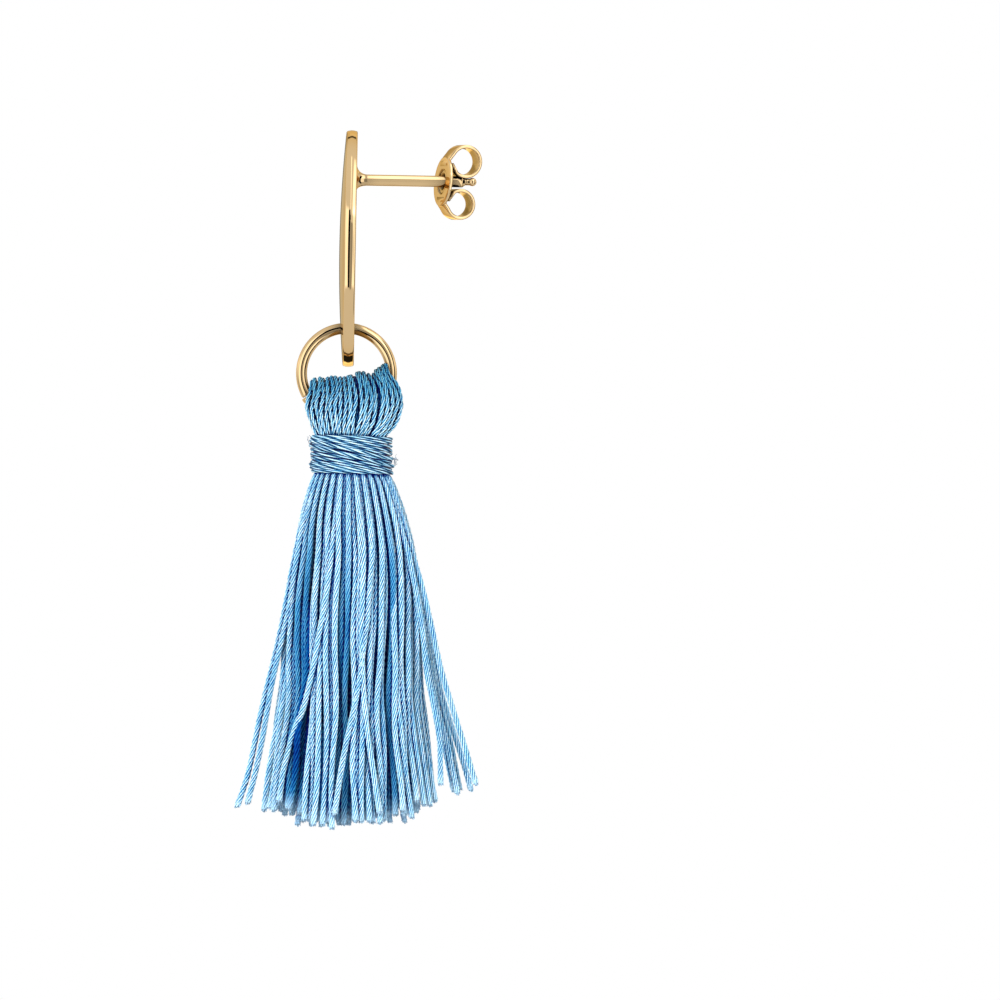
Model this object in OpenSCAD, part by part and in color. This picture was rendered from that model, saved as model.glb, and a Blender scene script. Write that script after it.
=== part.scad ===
// Drop earring with a thread tassel: a domed disc on an ear post with a butterfly nut,
// a jump ring through the disc, and a tassel of twisted threads looped over the ring.
// Millimetres. The origin is on the post's axis at the disc's back face, where the ear lobe sits.
// +Y runs along the post through the ear, the disc's front faces -Y and the tassel hangs along -Z.

/* [Disc] */
// Diameter of the disc
disc_d = 19.4; // [17:0.1:24]
// Thickness of the disc at its rim
disc_rim_t = 0.93; // [0.7:0.01:1.4]
// How far the front stands proud of the rim in its middle
dome_rise = 0.42; // [0.1:0.01:1]
// Rounding of the rim's front and back edges
rim_round = 0.2; // [0.05:0.01:0.3]
// Height of the disc's top edge above the post's axis
disc_above_post = 4.06; // [3:0.01:6]
// Diameter of the hole that the jump ring passes through
ring_hole_d = 1.6; // [1.4:0.05:2.2]
// Metal left between the ring hole and the disc's lower edge
hole_bridge = 2.6; // [1.5:0.05:3]

/* [Ear post] */
// Diameter of the post
post_d = 0.92; // [0.7:0.01:1.1]
// Length of the post from the disc's back face to its tip
post_len = 9.8; // [9.4:0.1:12]
// Radius of the solder fillet at the disc
post_fillet = 0.5; // [0.2:0.05:0.8]
// Diameter at the waist that the nut clicks into
waist_d = 0.56; // [0.45:0.01:0.65]
// Distance from the tip back to the end of the full diameter
waist_from_tip = 1.15; // [1:0.05:1.5]
// Diameter of the rounded knob at the tip
knob_d = 0.68; // [0.66:0.01:0.7]

/* [Butterfly nut] */
// Distance from the disc's back face to the middle of the nut's plate
nut_from_disc = 6.95; // [4:0.05:7.5]
// Diameter of the nut's round plate
nut_plate_d = 4.1; // [3.6:0.05:5]
// Thickness of the nut's sheet
nut_sheet = 0.28; // [0.2:0.01:0.35]
// Width of the two curled bands
nut_band_w = 1.85; // [1.4:0.05:2.4]
// Outer diameter of the upper curl
upper_curl_d = 2.75; // [2.4:0.05:3.2]
// Outer diameter of the lower curl
lower_curl_d = 2.54; // [2.2:0.05:3.2]
// Diameter at the mouth of the dimple that guides the post in
dimple_d = 1.9; // [1.4:0.05:2.4]
// Turn of the nut about the vertical, as it sits on the post
nut_yaw = 18; // [0:1:20]
// Lean of the nut towards the tip of the post
nut_lean = 5; // [0:1:8]
// Running clearance between the nut and the post
nut_clearance = 0.06; // [0.04:0.01:0.1]

/* [Jump ring] */
// Outer diameter of the ring
ring_outer_d = 8.28; // [7.6:0.02:9]
// Diameter of the ring's wire
ring_wire_d = 0.9; // [0.7:0.02:1]
// Place of the split, in degrees from the ring's lowest point towards the disc's front
ring_split_at = 59; // [40:1:80]
// Width of the split
ring_split = 0.06; // [0.04:0.01:0.15]
// Clearance between the ring and the lower edge of its hole
link_gap = 0.06; // [0.03:0.01:0.12]

/* [Tassel head] */
// Distance from the ring's centre down to the top of the neck wrap
head_drop = 5.1; // [4.8:0.05:6]
// Height of the tallest loops above the neck wrap
head_h = 6.05; // [5.6:0.05:6.2]
// Width of the bunch of loops where it bulges most
head_w = 7.95; // [7:0.05:9]
// Width of the row of loops at its top
head_top_w = 6.3; // [5:0.05:7]
// Depth of the bunch from front to back where it bulges most
head_depth = 5.5; // [4.6:0.05:6.5]
// How far the top of the loops lies towards the disc's front
head_top_shift = 0.35; // [0:0.05:0.6]
// How far the tassel's middle lies behind the ring's centre
tassel_shift = 0.55; // [0:0.05:0.8]
// Number of locks that the loops are bunched in
head_locks = 12; // [8:1:16]
// Clearance between the loops and the ring's wire
loop_clearance = 0.1; // [0.05:0.01:0.2]

/* [Neck wrap] */
// Width of the bound neck inside the wrap
neck_w = 5.7; // [5:0.05:6.4]
// Depth of the bound neck inside the wrap
neck_depth = 4.6; // [4:0.05:5.6]
// Height of the wrap
wrap_h = 3.15; // [2.4:0.05:4]
// Thickness of the wrap over the neck
wrap_t = 0.56; // [0.4:0.02:0.8]
// Number of turns of thread in the wrap
wrap_turns = 9; // [6:1:12]
// Depth of the groove between two turns
wrap_groove = 0.12; // [0.05:0.01:0.2]
// Clearance between pieces that lie against each other
part_gap = 0.05; // [0.03:0.01:0.1]

/* [Tassel skirt] */
// Length of the longest locks below the wrap
skirt_len = 28.8; // [22:0.1:36]
// Width of the skirt where it leaves the wrap
skirt_top_w = 6.5; // [6.1:0.05:7]
// Width of the skirt at its lower end, without the strands that stand off
skirt_w = 15.1; // [11:0.1:19]
// Depth of the skirt from front to back at its lower end
skirt_depth = 12.4; // [9:0.1:16]
// How far the skirt's lower end lies behind its top, towards the ear
skirt_lean = 0.25; // [-1:0.05:1]
// Number of locks round the skirt
skirt_locks = 24; // [16:1:28]
// Width of one lock at the neck
lock_w_top = 0.9; // [0.7:0.05:1.2]
// Width of one lock at its lower end
lock_w_end = 1.75; // [1.2:0.05:2.2]
// How much shorter the locks at the two sides are
side_rise = 1.5; // [0:0.1:3]
// Greatest random shortening of a lock
lock_jag = 0.9; // [0:0.1:2]
// Greatest random sideways wander of a lock, as a share of the room that one lock has
lock_wander = 0.35; // [0:0.05:0.5]

/* [Hidden] */
gold = "#e1bd87";
thread_blue = "#75acd2";
wrap_blue = "#5f8fba";

// Facets of turned metal and steps of its rounded edges
round_fn = 96;
hole_fn = 48;
edge_steps = 4;
dome_steps = 16;
// Facets of the threadwork
wrap_fn = 30;
core_fn = 24;
lock_fn = 8;
// Rows of points in one turn of the wrap
turn_rows = 4;
// Height of one level slice of a lock
slice = 0.04;
// Overlap that fuses a solid to the one it is soldered to
bite = 0.3;
// Degrees between two points of a nut's curl
curl_step = 8;
// A curl leaves the plate at the first angle and ends at the second, counted from the direction
// of the post's tip
curl_from = 150;
curl_to = -125;
// Height of a curl's inner end above the post's axis
curl_end_z = 1.5;
// How far the wings press past the surface of the post, which their channel makes room for
curl_press = 0.08;
// Width of a lock of the head as a share of its spacing
lock_overlap = 1.15;
// Smallest random width of a lock's end as a share of lock_w_end, and what chance adds to it
lock_w_least = 0.8;
lock_w_more = 0.35;
// How much narrower the skirt's core is than the skirt, in widths of a lock's end
core_inset = 1.4;
// How late a strand bends away from the skirt
strand_bend = 1.2;
// Facets of the channel that the ring lies in
channel_fn = 16;
// Seed of the locks' random lengths
lock_seed = 11;

// Outline of the loops: share of a lock's height, and share of the way from neck to bulge
head_bulge = [
    // [height, swell]
    [0, 0],
    [0.2, 0.6],
    [0.4, 1],
    [0.5, 1],
];
// Tops of the loops from the disc's front side to its back side, as shares of head_h
head_tops = [
    // [across, height]
    [0, 0.76],
    [0.1, 0.8],
    [0.5, 0.8],
    [0.58, 0.87],
    [0.7, 0.87],
    [0.78, 0.85],
    [0.88, 1],
    [0.96, 1],
    [1, 0.96],
];
// Levels of a lock of the head, as shares of its height
head_levels = [0, 0.2, 0.4, 0.5, 0.68, 0.83, 0.94, 1];
// How much shallower the bunch of loops is at its two ends, as a share of its depth
head_end_round = 0.42;
// Uneven layers of the winding from its bottom to its top, as shares of wrap_t
wrap_layers = [
    // [up, swell]
    [0, -0.25],
    [0.2, 0.15],
    [0.47, -0.4],
    [0.65, -0.25],
    [0.87, -0.15],
    [1, -0.4],
];
// Flare of the skirt: share of its length and share of the way from neck to full width
skirt_flare = [
    // [down, spread]
    [0, 0],
    [0.09, 0.19],
    [0.22, 0.36],
    [0.36, 0.5],
    [0.61, 0.67],
    [1, 1],
];
// Rings of locks from the skirt's edge inwards: how far out, how many and how wide, as shares
// of the skirt's size, of skirt_locks and of a lock's width
lock_rings = [
    // [out, count, wide]
    [1, 1, 1],
    [0.7, 0.5, 1.5],
    [0.36, 0.25, 1.6],
];
// Strands that stand off the skirt: end across as a share of half the skirt's width, end in
// depth as a share of half its depth, length as a share of skirt_len and width in shares of
// a lock's end
strands = [
    // [across, deep, length, width]
    [-1.19, 0.2, 0.95, 0.56],
    [1.06, 0.6, 0.87, 0.4],
    [1.19, 0.1, 0.89, 0.56],
    [1.38, -0.15, 0.89, 0.42],
    [1.45, 0.3, 0.87, 0.34],
];
// Share of the length at which the strands leave the skirt
strand_leaves = 0.3;

// Places that follow from the sizes
disc_r = disc_d / 2;
disc_z = disc_above_post - disc_r;
dome_span = disc_r - rim_round;
dome_r = (dome_span ^ 2 + dome_rise ^ 2) / (2 * dome_rise);
hole_z = disc_z - disc_r + hole_bridge + ring_hole_d / 2;
hole_t = dome_height(disc_z - hole_z);
post_r = post_d / 2;
// Height at which the nut's round plate is as wide as a band, where each wing folds back
plate_edge_z = sqrt((nut_plate_d / 2) ^ 2 - (nut_band_w / 2) ^ 2);
ring_r = (ring_outer_d - ring_wire_d) / 2;
ring_inner_r = ring_outer_d / 2 - ring_wire_d;
ring_y = -hole_t / 2;
ring_z = hole_z - ring_hole_d / 2 + link_gap - sqrt(ring_inner_r ^ 2 - (hole_t / 2) ^ 2);
tassel_y = ring_y + tassel_shift;
wrap_top_z = ring_z - head_drop;
skirt_top_z = wrap_top_z - wrap_h;
skirt_top_depth = skirt_top_w * neck_depth / neck_w;
// Random values from 0 to 1 that set each lock's length, place, bend and width
chance = [for (k = [0:3]) rands(0, 1, skirt_locks, lock_seed + k)];

// Points along an arc about [cx, cy]
function arc(cx, cy, r, from, to, steps) =
    [for (i = [0:steps]) let (a = from + (to - from) * i / steps) [cx + r * cos(a), cy + r * sin(a)]];

// Height of the domed front above the back face, at a distance from the disc's centre
function dome_height(r) = disc_rim_t + dome_rise - dome_r + sqrt(dome_r ^ 2 - r ^ 2);

// Outline of a strip of even thickness along a path
function strip_side(path, i) =
    let (
        ahead = path[min(i + 1, len(path) - 1)],
        behind = path[max(i - 1, 0)],
        way = (ahead - behind) / norm(ahead - behind)
    ) [-way[1], way[0]];
function strip(path, t) = concat(
    [for (i = [0:len(path) - 1]) path[i] + strip_side(path, i) * t / 2],
    [for (i = [len(path) - 1:-1:0]) path[i] - strip_side(path, i) * t / 2]
);

// Disc with rounded rim and domed front
module disc() {
    outline = concat(
        [[0, 0]],
        arc(disc_r - rim_round, rim_round, rim_round, -90, 0, edge_steps),
        arc(disc_r - rim_round, disc_rim_t - rim_round, rim_round, 0, 90, edge_steps),
        [for (i = [dome_steps - 1:-1:0]) let (r = dome_span * i / dome_steps) [r, dome_height(r)]]
    );
    translate([0, 0, disc_z])
        rotate([90, 0, 0])
            rotate_extrude($fn = round_fn)
                polygon(outline);
}

// Post with its solder fillet, the waist and the knob at its tip
module post() {
    waist_r = waist_d / 2;
    knob_r = knob_d / 2;
    waist_y = post_len - waist_from_tip;
    outline = concat(
        [[0, -bite], [post_r + post_fillet, -bite]],
        arc(post_r + post_fillet, post_fillet, post_fillet, 270, 180, 2 * edge_steps),
        [[post_r, waist_y]],
        [[waist_r, waist_y + (post_r - waist_r)]],
        [[waist_r, post_len - knob_r - 2 * (knob_r - waist_r)]],
        arc(0, post_len - knob_r, knob_r, 0, 90, edge_steps)
    );
    rotate([-90, 0, 0])
        rotate_extrude($fn = hole_fn)
            polygon(outline);
}

module disc_and_post() {
    color(gold)
        union() {
            difference() {
                disc();
                translate([0, 0, hole_z])
                    rotate([90, 0, 0])
                        cylinder(d = ring_hole_d, h = 4 * (disc_rim_t + dome_rise), center = true, $fn = hole_fn);
            }
            post();
        }
}

// One wing of the nut: a band that leaves the plate's edge, curls over and ends beside the plate
module wing(curl_d) {
    rest_z = post_r - curl_press + curl_d / 2;
    centre = [nut_sheet + curl_d / 2, rest_z];
    line_r = (curl_d - nut_sheet) / 2;
    steps = ceil((curl_from - curl_to) / curl_step);
    path = concat(
        [[nut_sheet / 2, plate_edge_z - nut_sheet], [nut_sheet / 2, plate_edge_z]],
        arc(centre[0], centre[1], line_r, curl_from, curl_to, steps),
        [[1.5 * nut_sheet + part_gap, curl_end_z]]
    );
    rotate([90, 0, 90])
        linear_extrude(nut_band_w, center = true)
            polygon(strip(path, nut_sheet));
}

// Round plate, cut level where the wings fold back
module nut_plate() {
    rotate([-90, 0, 0])
        intersection() {
            cylinder(d = nut_plate_d, h = nut_sheet, $fn = round_fn);
            cube([nut_plate_d, 2 * plate_edge_z, 4 * nut_sheet], center = true);
        }
}

module butterfly_nut() {
    bore_r = post_r + nut_clearance;
    color(gold)
        translate([0, nut_from_disc, 0])
            difference() {
                rotate([-nut_lean, 0, 0])
                    rotate([0, 0, nut_yaw])
                        difference() {
                            union() {
                                nut_plate();
                                wing(upper_curl_d);
                                mirror([0, 0, 1])
                                    wing(lower_curl_d);
                            }
                            rotate([-90, 0, 0])
                                translate([0, 0, -nut_sheet])
                                    cylinder(r1 = dimple_d / 2 + nut_sheet, r2 = dimple_d / 2 - nut_sheet / 2,
                                        h = 1.5 * nut_sheet, $fn = hole_fn);
                        }
                rotate([-90, 0, 0])
                    cylinder(r = bore_r, h = 4 * nut_plate_d, center = true, $fn = hole_fn);
            }
}

// Open ring in the plane of the post and the vertical, hung in the disc's hole
module jump_ring() {
    split_angle = ring_split / ring_r * 180 / PI;
    color(gold)
        translate([0, ring_y, ring_z])
            rotate([0, 90, 0])
                rotate([0, 0, split_angle / 2 - ring_split_at])
                    rotate_extrude(angle = 360 - split_angle, $fn = round_fn)
                        translate([ring_r, 0])
                            circle(d = ring_wire_d, $fn = core_fn);
}

// Level slice of a lock of the head, from its front to its back
module head_slice(across, level) {
    top = head_h * lookup(across, head_tops);
    swell = lookup(level, head_bulge);
    last_swell = head_bulge[len(head_bulge) - 1][0];
    rise = max(level - last_swell, 0) / (1 - last_swell);
    width = (neck_w + (head_w - neck_w) * swell) * (1 - rise) + head_top_w * rise;
    pitch = width / head_locks;
    end_round = 1 - head_end_round * abs(2 * across - 1) ^ 3;
    reach = (neck_depth + (head_depth - neck_depth) * swell) / 2 * end_round * sqrt(1 - rise ^ 2);
    y = (across - 0.5) * (width - pitch) - head_top_shift * rise;
    z = level < 1 ? part_gap + level * top : top - slice;
    for (side = [-1, 1])
        translate([side * max(reach - pitch / 2, 0), y, z])
            cylinder(d = lock_overlap * pitch, h = slice, $fn = lock_fn);
}

// Loops folded over the ring, bunched side by side in locks that are fused to the neck
module tassel_head() {
    color(thread_blue)
        difference() {
            translate([0, tassel_y, wrap_top_z]) {
                for (i = [0:head_locks - 1])
                    for (k = [0:len(head_levels) - 2])
                        hull() {
                            head_slice(i / (head_locks - 1), head_levels[k]);
                            head_slice(i / (head_locks - 1), head_levels[k + 1]);
                        }
                translate([0, 0, part_gap / 2 - wrap_h / 2])
                    scale([neck_depth / neck_w, 1, 1])
                        cylinder(d = neck_w, h = wrap_h / 2 + slice, $fn = core_fn);
            }
            translate([0, ring_y, ring_z])
                rotate([0, 90, 0])
                    rotate_extrude($fn = round_fn)
                        translate([ring_r, 0])
                            circle(d = ring_wire_d + 2 * loop_clearance, $fn = channel_fn);
        }
}

// Outer half width of the wrap at a turn angle and a share of its height
function wound(angle, up) =
    let (groove = abs(sin(180 * (up * wrap_turns + angle / 360))) - 1)
    neck_w / 2 + part_gap + wrap_t * (1 + lookup(up, wrap_layers)) + wrap_groove * groove;

// Thread wound round the neck in one long slanting ridge
module neck_wrap() {
    rows = wrap_turns * turn_rows;
    flat = neck_depth / neck_w;
    angles = [for (j = [0:wrap_fn - 1]) 360 * j / wrap_fn];
    inner = neck_w / 2 + part_gap;
    outside = [
        for (k = [0:rows])
            for (a = angles)
                [flat * wound(a, k / rows) * cos(a), wound(a, k / rows) * sin(a), wrap_h * k / rows]
    ];
    inside = [
        for (z = [wrap_h, 0])
            for (a = angles)
                [flat * inner * cos(a), inner * sin(a), z]
    ];
    // The rows of points go up the outside, down the inside and back to the first row
    faces = [
        for (k = [0:rows + 2])
            for (j = [0:wrap_fn - 1])
                let (
                    below = k * wrap_fn,
                    above = (k + 1) % (rows + 3) * wrap_fn,
                    next = (j + 1) % wrap_fn
                ) each [
                    [below + j, above + j, above + next],
                    [below + j, above + next, below + next],
                ]
    ];
    color(wrap_blue)
        translate([0, tassel_y, skirt_top_z])
            polyhedron(concat(outside, inside), faces);
}

// Size of the skirt at a share of its length, from its value at the neck to its full value
function flared(down, at_neck, full) = at_neck + (full - at_neck) * lookup(down, skirt_flare);

// Level slice of a lock at [x, y] with its top at height z
module skirt_slice(x, y, z, w, down) {
    translate([x, y + skirt_lean * down, z - slice])
        cylinder(d = w, h = slice, $fn = lock_fn);
}

// Slice of one lock of a ring of locks, a share of the way down
module lock_slice(ring, i, down) {
    count = ceil(skirt_locks * ring[1]);
    place = i + lock_wander * ((2 * chance[1][i] - 1) * down + (2 * chance[2][i] - 1) * sin(180 * down));
    a = 360 * place / count;
    end_w = lock_w_end * (lock_w_least + lock_w_more * chance[3][i]);
    w = ring[2] * flared(down, lock_w_top, end_w);
    half_depth = ring[0] * (flared(down, skirt_top_depth, skirt_depth) - w) / 2;
    half_width = ring[0] * (flared(down, skirt_top_w, skirt_w) - w) / 2;
    length = skirt_len - lock_jag * chance[0][i] - side_rise * (ring[0] * sin(a)) ^ 2;
    skirt_slice(half_depth * cos(a), half_width * sin(a), -down * length, w, down);
}

// Slice of a strand that leaves the skirt's edge and ends apart from it
module strand_slice(row, down) {
    leave = max(down - strand_leaves, 0) / (1 - strand_leaves);
    w = row[3] * lock_w_end;
    half_width = flared(down, skirt_top_w, skirt_w) / 2 - w / 2;
    edge = sign(row[0]) * half_width;
    stand_off = (row[0] - sign(row[0])) * skirt_w / 2;
    x = row[1] * flared(down, skirt_top_depth, skirt_depth) / 2;
    skirt_slice(x, edge + stand_off * leave ^ strand_bend, -down * skirt_len * row[2], w, down);
}

// Level slice of the skirt's core, a share of the way down, with its top at height z
module core_slice(down, z) {
    translate([0, skirt_lean * down, z - slice])
        scale([
            flared(down, neck_depth, skirt_depth - core_inset * lock_w_end),
            flared(down, neck_w, skirt_w - core_inset * lock_w_end),
            1
        ])
            cylinder(d = 1, h = slice, $fn = core_fn);
}

// Threads below the wrap: a core, rings of locks fused to it and strands that stand off
module tassel_skirt() {
    levels = [for (row = skirt_flare) row[0]];
    last = len(levels) - 1;
    core_len = skirt_len - side_rise - 2 * lock_jag;
    color(thread_blue)
        translate([0, tassel_y, skirt_top_z - part_gap]) {
            hull() {
                core_slice(0, wrap_h / 2 + part_gap / 2);
                core_slice(0, 0);
            }
            for (k = [0:last - 1])
                hull()
                    for (down = [levels[k], levels[k + 1]])
                        core_slice(down, -down * core_len);
            for (ring = lock_rings)
                for (i = [0:ceil(skirt_locks * ring[1]) - 1])
                    for (k = [0:last - 1])
                        hull() {
                            lock_slice(ring, i, levels[k]);
                            lock_slice(ring, i, levels[k + 1]);
                        }
            for (row = strands)
                for (k = [0:last - 1])
                    hull() {
                        strand_slice(row, levels[k]);
                        strand_slice(row, levels[k + 1]);
                    }
        }
}

disc_and_post();
butterfly_nut();
jump_ring();
tassel_head();
neck_wrap();
tassel_skirt();
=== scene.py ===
import math

import bmesh
import bpy
import numpy as np
from mathutils import Matrix, Vector


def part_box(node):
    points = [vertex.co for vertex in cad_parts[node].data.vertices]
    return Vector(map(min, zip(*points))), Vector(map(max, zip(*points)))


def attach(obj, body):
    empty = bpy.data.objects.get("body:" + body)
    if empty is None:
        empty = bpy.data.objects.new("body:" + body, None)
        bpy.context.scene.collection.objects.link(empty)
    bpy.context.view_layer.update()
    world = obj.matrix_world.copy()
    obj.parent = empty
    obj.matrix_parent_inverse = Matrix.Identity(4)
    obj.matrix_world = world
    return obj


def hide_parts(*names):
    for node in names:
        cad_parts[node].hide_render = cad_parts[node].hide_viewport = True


bl_info = {
    "name": "Tassel earring",
    "version": (1, 0, 0),
    "blender": (4, 5, 0),
    "location": "3D View > Sidebar > Earring",
    "description": "Drop earring with a domed gold disc, a jump ring and a thread tassel",
    "category": "Add Mesh",
}

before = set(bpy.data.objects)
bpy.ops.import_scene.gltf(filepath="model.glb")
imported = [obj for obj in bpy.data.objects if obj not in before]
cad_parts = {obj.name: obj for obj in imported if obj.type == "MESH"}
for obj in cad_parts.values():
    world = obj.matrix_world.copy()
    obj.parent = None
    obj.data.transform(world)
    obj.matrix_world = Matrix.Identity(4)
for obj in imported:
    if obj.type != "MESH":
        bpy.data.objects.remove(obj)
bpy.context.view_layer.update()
MM = 0.001

# Places that the solid part gives, in millimetres
DISC_LOW, DISC_HIGH = (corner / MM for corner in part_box("disc_and_post"))
RING_LOW, RING_HIGH = (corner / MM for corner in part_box("jump_ring"))
WRAP_LOW, WRAP_HIGH = (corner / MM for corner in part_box("neck_wrap"))
DISC_R = (DISC_HIGH.z - DISC_LOW.z) / 2
DISC_Z = (DISC_HIGH.z + DISC_LOW.z) / 2
POST_LEN = DISC_HIGH.y
RING_R = (RING_HIGH.z - RING_LOW.z) / 2
RING_Y = (RING_HIGH.y + RING_LOW.y) / 2
RING_Z = (RING_HIGH.z + RING_LOW.z) / 2
TASSEL_Y = (WRAP_HIGH.y + WRAP_LOW.y) / 2
WRAP_TOP = WRAP_HIGH.z
SKIRT_TOP = WRAP_LOW.z

# Edges of the skirt's bulk, in millimetres: how far down, and the left and right edge along Y
SKIRT_EDGES = [
    # (down, left, right)
    (-1.5, -2.7, 2.62),
    (0.0, -3.1, 3.05),
    (0.5, -3.38, 3.5),
    (2.5, -4.02, 4.3),
    (4.5, -4.42, 4.92),
    (6.5, -4.66, 5.36),
    (8.5, -5.0, 5.66),
    (10.5, -5.3, 5.86),
    (14.4, -5.64, 6.08),
    (17.8, -5.83, 6.22),
    (22.5, -6.45, 6.85),
    (29.0, -7.35, 7.9),
]
# Locks on the skirt's front: from and to along Y, threads, how far out, all 22.7 mm down
FRONT_LOCKS = [
    # (left, right, threads, out)
    (-6.24, -5.15, 3, 1.0),
    (-5.05, -4.3, 2, 0.82),
    (-4.2, -3.5, 2, 0.74),
    (-3.28, -2.25, 3, 1.0),
    (-1.95, -0.95, 3, 1.0),
    (-0.85, -0.45, 1, 0.72),
    (-0.35, 0.0, 1, 0.78),
    (0.38, 1.35, 3, 1.0),
    (1.5, 2.12, 2, 0.95),
    (2.42, 3.08, 2, 0.93),
    (3.42, 3.85, 1, 0.74),
    (3.98, 4.9, 3, 1.0),
    (5.02, 5.88, 2, 0.98),
    (5.97, 7.0, 3, 0.97),
]
LOCKS_AT = 22.7
# Lengths of the skirt's threads across its width
SKIRT_ENDS = [
    # (across, down)
    (-7.4, 27.2),
    (-6.4, 27.5),
    (-5.0, 27.4),
    (-4.0, 27.7),
    (-3.3, 28.1),
    (-2.7, 28.5),
    (-1.3, 28.3),
    (0.0, 27.8),
    (1.2, 28.2),
    (2.4, 27.9),
    (3.6, 27.6),
    (4.9, 27.5),
    (5.9, 27.0),
    (6.4, 26.6),
    (7.6, 26.3),
]
# Strands that stand off the skirt, each a list of places
STRAYS = [
    # [(down, along Y, along X), ...]
    [(-1, -2.3, 0.4), (0.5, -3.1, 0.8), (4.4, -4.15, 1.2), (10.3, -5.1, 1.2), (16.2, -6.35, 1.0),
     (22.1, -7.55, 0.9), (25, -8.2, 0.8), (27.3, -8.9, 0.8)],
    [(-1, -2.2, 0.6), (0.5, -2.9, 1.1), (4.4, -3.95, 1.6), (10.3, -4.85, 1.6), (17.8, -6.3, 1.3),
     (22.1, -7.05, 1.2), (25, -7.55, 1.1), (27.0, -8.0, 1.0)],
    [(-1, 2.1, 0.8), (0.5, 2.8, 1.3), (6.4, 4.8, 2.2), (12.2, 5.9, 2.6), (16.2, 6.45, 2.9),
     (18.4, 6.95, 3.0), (21.5, 7.5, 3.1), (25.1, 7.7, 3.2)],
    [(-1, 2.3, 0.2), (0.5, 3.05, 0.3), (6.4, 5.0, 0.6), (12.2, 6.1, 0.7), (16.2, 6.75, 0.9),
     (18.4, 7.2, 0.9), (22, 8.0, 1.0), (25.7, 8.75, 1.1)],
    [(-1, 2.3, -0.2), (0.5, 3.1, -0.1), (6.4, 5.05, 0.1), (12.2, 6.25, 0.2), (16.2, 7.0, 0.3),
     (18.4, 7.45, 0.4), (22, 8.45, 0.5), (25.6, 9.3, 0.5)],
    [(-1, 2.2, 0.5), (0.5, 3.0, 0.8), (6.4, 4.9, 1.1), (12.2, 6.0, 1.3), (16.2, 6.7, 1.5),
     (18.4, 7.1, 1.6), (22, 8.25, 1.6), (25.9, 9.05, 1.5)],
    [(-1, 2.3, -0.5), (0.5, 3.1, -0.8), (6.4, 5.1, -0.9), (11.9, 6.4, -0.9), (17.6, 7.6, -0.8),
     (21, 8.7, -0.8), (25.7, 10.2, -0.8)],
    [(-1, 2.2, 0.7), (0.5, 3.1, 1.1), (4.4, 4.55, 1.5), (8.4, 5.65, 1.8), (12.3, 6.7, 1.9),
     (16.2, 7.7, 2.0), (20.2, 8.9, 2.0), (25.1, 10.6, 1.9)],
]
# Threads that lie across the locks on the skirt's front, each a list of places
CROSSINGS = [
    # [(down, along Y), ...]
    [(-1, 1.0), (0.5, 1.25), (6, 1.75), (11.9, 1.5), (17.7, 0.73), (22.6, -0.17), (27.6, -0.95)],
    [(-1, 0.55), (0.5, 0.6), (6, 1.0), (12, 1.05), (17.7, 1.2), (21, 1.55), (24.6, 2.3), (27.4, 2.75)],
    [(-1, -0.7), (0.5, -0.9), (6, -1.5), (11, -2.1), (15.5, -2.75), (18.7, -3.5),
     (21.6, -4.6), (24.2, -5.15), (26.7, -5.4)],
]
# Edges of the bunch of loops above the wrap, left and right along Y
HEAD_EDGES = [
    # (up, left, right)
    (-0.8, -2.7, 2.6),
    (0.0, -3.0, 2.85),
    (0.3, -3.27, 3.1),
    (1.1, -3.65, 3.7),
    (1.9, -3.9, 4.05),
    (2.6, -3.92, 4.2),
    (3.3, -3.72, 4.05),
    (4.2, -3.66, 3.72),
    (5.2, -3.64, 3.02),
    (6.1, -3.64, 2.75),
]
# Bunches of loops from left to right, low enough to clear the disc's edge as they swing
HEAD_BUNCHES = [
    # (threads, left top, right top, how far out, fold after it)
    (4, 4.72, 4.9, 1.0, 0.15),
    (4, 4.97, 5.0, 0.96, 0.2),
    (3, 5.0, 5.2, 1.0, 0.6),
    (4, 5.4, 5.35, 0.98, 0.7),
    (5, 5.4, 6.18, 1.0, 0.0),
]
# Turns of the winding thread over the front. The first lie level, side by side, and the others slant
# across them; each has the heights of its left and right end, and how far out it lies
LEVEL_TURNS = (2.9, 2.6, 2.3, 2.0, 1.7, 1.4, 1.1, 0.8, 0.5, 0.25)
WRAP_TURNS = [(height, height, 0.0) for height in LEVEL_TURNS] + [
    # (left, right, out)
    (0.2, 0.15, 0.1),
    (0.5, 0.2, 0.16),
    (0.74, 0.3, 0.14),
    (0.98, 0.46, 0.16),
    (1.3, 0.7, 0.18),
    (1.62, 1.0, 0.18),
    (1.95, 1.32, 0.18),
    (2.25, 1.66, 0.18),
    (2.48, 2.0, 0.18),
    (2.72, 2.34, 0.18),
    (2.88, 2.66, 0.16),
    (3.0, 2.95, 0.12),
    (2.7, 1.3, 0.3),
    (2.3, 0.72, 0.32),
    (0.75, 0.16, 0.28),
]
# Thread inputs of a single fibre, which has no plies
FIBRE = {"Plies": 1, "Lay length": 1 * MM, "Rings per turn": 6, "Groove depth": 0.0, "Unevenness": 0.0}
# Half a thread, by which the skirt's centre lines stay inside its edges, and the skirt's depth for its width
EDGE_ROOM = 0.22
SKIRT_DEPTH = 0.8
# How far the skirt's threads run up under the winding, and the steps in which their lines are drawn
UNDER_WRAP = 1.4
GUIDE_STEP = 1.1
# How far forward the head's loops reach, and half a thread, by which they stay inside the head's edges
HEAD_DEPTH = 2.55
HALF_LOOP = 0.2
# Radius of the ring's wire, and how far the loops' centre lines stay from the wire's own
WIRE_R = 0.45
WIRE_ROOM = 0.68
# Radius of the winding's first layer along Y, and its depth for its width
WRAP_R = 3.08
WRAP_DEPTH = 0.82
# Rounding of the disc's edges
DISC_EDGE = 0.16
# Rays that test how open a place is
AO_RAYS = 6
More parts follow.
